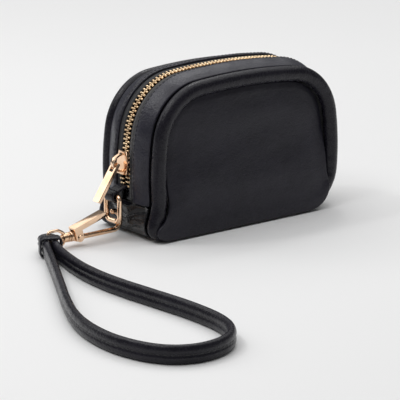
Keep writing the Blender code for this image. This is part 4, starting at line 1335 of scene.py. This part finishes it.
@dataclass
class Strap:
    """Rolled wrist strap: two rolled edges with a stitched groove between, its fold and its keeper."""

    finishes: Finishes
    bar_x: float = -107.7
    bar_z: float = 5.1
    turn: float = 62.7
    thickness: float = 4.2
    height: float = 8.2
    fold_thickness: float = 4.0
    fold_height: float = 5.8
    kept_height: float = 7.6
    fold_length: float = 6.0
    keeper_length: float = 6.4
    leave: float = 14.0
    eye_wire: float = 0.8
    gap: float = 0.3
    route: tuple[tuple[float, float], ...] = (
        (-117.2, -29.5), (-121.2, -47.5), (-122.8, -65.0), (-122.4, -82.0), (-120.8, -100.0),
        (-119.2, -118.0), (-118.8, -132.0), (-119.8, -145.0), (-123.4, -156.5), (-130.4, -165.0),
        (-140.5, -169.4), (-151.5, -169.2), (-161.2, -163.6), (-167.4, -153.0), (-170.4, -138.0),
        (-169.2, -120.5), (-164.3, -103.0), (-155.4, -84.0), (-144.5, -64.0), (-132.5, -42.0))

    @property
    def kept(self) -> float:
        """Distance from the bar at which the keeper ends."""
        return self.fold_length + self.keeper_length

    def frame(self) -> tuple[Array, Array, Array]:
        """Bar centre, direction of the folded strap and its right-hand side, all in plan."""
        angle = math.radians(180 + self.turn)
        along = np.array([math.cos(angle), math.sin(angle)])
        return np.array([self.bar_x, 0.0]), along, np.array([-along[1], along[0]])

    def middle_line(self) -> Array:
        """Plan of the strap's middle: keeper, half circle round the bar, loop and back to the keeper.

        Returns:
            Evenly spaced points (x, y).
        """
        bar, along, right = self.frame()
        bend = self.eye_wire + self.gap + self.fold_thickness / 2
        close = self.thickness / 2 + self.gap / 2
        join = self.fold_length + self.keeper_length / 2
        angle = np.radians(np.linspace(0, 180, 16))[:, None]
        fold = bar - along * bend * np.sin(angle) - right * bend * np.cos(angle)
        side = right * close
        folded = bar + along * (self.fold_length - 0.5)
        line = np.vstack([bar + along * join - side, folded - side, fold, folded + side,
                          bar + along * self.leave + side, np.array(self.route),
                          bar + along * self.leave - side, bar + along * (join + self.gap) - side])
        return even(rounded_line(line, 10), 640)

    def section(self, line: Array) -> tuple[Array, Array]:
        """Section of the strap at each station and the height of its middle.

        A superellipse (|cos|^0.75, |sin|^0.85 with signs) of half thickness a and half height h, pinched to a
        groove at mid height: x = a |cos|^0.75 (1 - 0.36 exp(-(z / 0.17)^2)), with z from -1 to 1.

        Args:
            line: Stations in plan.

        Returns:
            Sections (stations, points, 2) and middle heights.
        """
        bar = self.frame()[0]
        away = np.linalg.norm(line - bar, axis=1)
        free = ease(away, self.fold_length - 2.2, self.fold_length)
        loose = ease(away, self.kept, self.kept + 8)
        thick = (self.fold_thickness + (self.thickness - self.fold_thickness) * free) / 2
        tall = (self.fold_height + (self.kept_height - self.fold_height) * free
                + (self.height - self.kept_height) * loose) / 2
        middle = self.bar_z + (self.height / 2 + 0.05 - self.bar_z) * loose
        cosine, sine = circle(48).T
        x, z = blunt(cosine, 0.75), blunt(sine, 0.85)
        pinch = 1 - 0.36 * np.exp(-(z / 0.17) ** 2)
        travelled = np.linspace(0.0, 1.0, len(line)) * 400.0
        lump = 1 + 0.012 * ripple(travelled, ((1.0, 13.0, 0.2), (0.8, 7.1, 1.3)))[:, None]
        return np.stack([thick[:, None] * (x * pinch)[None] * lump, tall[:, None] * z[None]], axis=-1), middle

    def build(self, frame: dict) -> None:
        """Make the strap, the stitches in both grooves and the keeper.

        Args:
            frame: The loaded frame.
        """
        line = self.middle_line()
        section, middle = self.section(line)
        right = np.column_stack([beside(headings(line)), np.zeros(len(line))])
        up = np.tile([0.0, 0.0, 1.0], (len(line), 1))
        path = np.column_stack([line, middle])
        grid = carried(path, right, up, section)
        made = mesh_from("rolled_strap", grid[None])
        dress(made, self.finishes.edge, "strap", "wrist_strap", slot="black_leather")
        self.seams(path)
        self.keeper()

    def seams(self, path: Array) -> None:
        """Even stitches along the groove on each face of the strap, past the keeper.

        Args:
            path: Stations in space.
        """
        clear = np.linalg.norm(path[:, :2] - self.frame()[0], axis=1) > self.kept + 1.5
        points = even(path[clear], 128)
        along = headings(points)
        right = np.cross(along, [0.0, 0.0, 1.0])
        depth = self.thickness / 2 * 0.64
        for word, hand in (("inner", 1.0), ("outer", -1.0)):
            out = right * hand
            made = stitches(f"strap_{word}_stitches", points + out * depth, along, out, 2.2, 0.28)
            dress(made, self.finishes.thread, "strap", slot="black_leather")

    def keeper(self) -> None:
        """Keeper: a rounded rectangular band round both runs, swelling in its middle and rolled at its edges.

        Across its length s from -1 to 1 its wall grows by 0.25 (1 - s^2) and its rims round off.
        """
        bar, along, right = self.frame()
        wide = 2 * self.thickness + 3 * self.gap
        tall = self.kept_height + 2 * self.gap
        centre = bar + along * (self.fold_length + self.keeper_length / 2)
        share = np.array([-1.0, -1.0, -0.94, -0.8, -0.5, 0.0, 0.5, 0.8, 0.94, 1.0, 1.0])
        wall = np.array([0.12, 0.45, 0.72, 0.88, 0.98, 1.04, 0.98, 0.88, 0.72, 0.45, 0.12])
        inner = rounded_loop(wide, tall, 1.6, (0.0, 0.0), 96)
        outside = inner[None] + beside(headings(inner, True))[None] * wall[:, None, None]
        flat = np.concatenate([outside, np.stack([inner, inner])])
        span = np.r_[share, 1.0, -1.0] * self.keeper_length / 2
        right3, along3 = np.append(right, 0.0), np.append(along, 0.0)
        origin = np.array([centre[0], centre[1], self.bar_z])
        grid = (origin + flat[..., 0:1] * right3 + flat[..., 1:2] * np.array([0.0, 0.0, 1.0])
                + span[:, None, None] * along3)
        made = mesh_from("leather_keeper", grid[None], ring=True)
        dress(made, self.finishes.edge, "strap", "strap_keeper", slot="black_leather")


# ---------------------------------------------------------------- studio


@dataclass
class Studio:
    """Pale floor, soft lights and the camera."""

    backdrop: float = 0.84
    camera_place: tuple[float, float, float] = (-0.6258, -0.7655, 0.2697)
    camera_turn: tuple[float, float, float] = (1.3118, 0.0, -0.6738)
    lens: float = 180.0

    def build(self) -> None:
        """Make the floor, the lights and the camera."""
        self.floor()
        self.world()
        self.light("ceiling", (0.4, 1.0, 2.2), (0.4, 1.0, 0.0), 4.6, 82.0)
        self.light("key", (-0.55, -0.10, 0.70), (0.0, 0.0, 0.03), 0.22, 0.7)
        self.light("back_left", (-0.52, 0.70, 0.47), (-0.07, 0.0, 0.03), 0.40, 0.8)
        self.light("shoulder", (-0.44, 0.30, 0.80), (-0.05, -0.01, 0.06), 0.10, 0.75)
        self.light("rim", (0.30, 0.36, 0.86), (-0.12, -0.08, 0.0), 0.12, 0.6)
        self.camera()

    def floor(self) -> None:
        """Wide flat sheet just under the object."""
        x, y = np.meshgrid(np.linspace(-4.0, 4.0, 9), np.linspace(-4.0, 4.0, 9), indexing="ij")
        grid = np.stack([x, y, np.full(x.shape, -0.0001)], axis=-1) / MM
        made = mesh_from("studio_floor", grid[None], tube=False)
        nodes = Nodes("studio_paper")
        place = nodes.object_place()
        tone = nodes.noise(place, 3.0, 2.0)
        colour = nodes.colours(tone, (self.backdrop,) * 3, (self.backdrop + 0.02,) * 3)
        made.data.materials.append(nodes.finish(Base_Color=colour, Roughness=0.9))

    def world(self) -> None:
        """Even pale surroundings."""
        world = bpy.data.worlds.new("studio_air")
        world.use_nodes = True
        background = world.node_tree.nodes["Background"]
        background.inputs["Color"].default_value = (1.0, 1.0, 1.0, 1.0)
        background.inputs["Strength"].default_value = 0.16
        bpy.context.scene.world = world
        bpy.context.scene.view_settings.view_transform = "Standard"

    def light(self, name: str, place: tuple[float, float, float], target: tuple[float, float, float],
              size: float, power: float) -> None:
        """Soft square light aimed at a point.

        Args:
            name: Name of the light.
            place: Where it hangs.
            target: What it faces.
            size: Side in metres.
            power: Power in watts.
        """
        data = bpy.data.lights.new(name, "AREA")
        data.size = size
        data.energy = power
        made = linked(name, data)
        made.location = place
        x, y, z = np.subtract(target, place)
        made.rotation_euler = (math.atan2(math.hypot(x, y), -z), 0.0, math.atan2(y, x) - math.pi / 2)

    def camera(self) -> None:
        """Long lens from the front left, a little above."""
        data = bpy.data.cameras.new("studio_camera")
        data.lens = self.lens
        data.sensor_width = 36.0
        made = linked("studio_camera", data)
        made.location = self.camera_place
        made.rotation_euler = self.camera_turn
        bpy.context.scene.camera = made


def main() -> None:
    """Load the frame, build each sub-assembly in order, then the studio."""
    logging.basicConfig(level=logging.INFO, format="%(message)s")
    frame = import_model()
    finishes = Finishes()
    outline = Outline()
    for assembly in (Pouch(outline, finishes), Zip(outline, finishes), Fittings(finishes), Strap(finishes)):
        LOG.info("building %s", type(assembly).__name__)
        assembly.build(frame)
    repaint(frame, finishes.gold, "clasp_body", "swivel_eye")
    Studio().build()


if __name__ == "__main__":
    main()
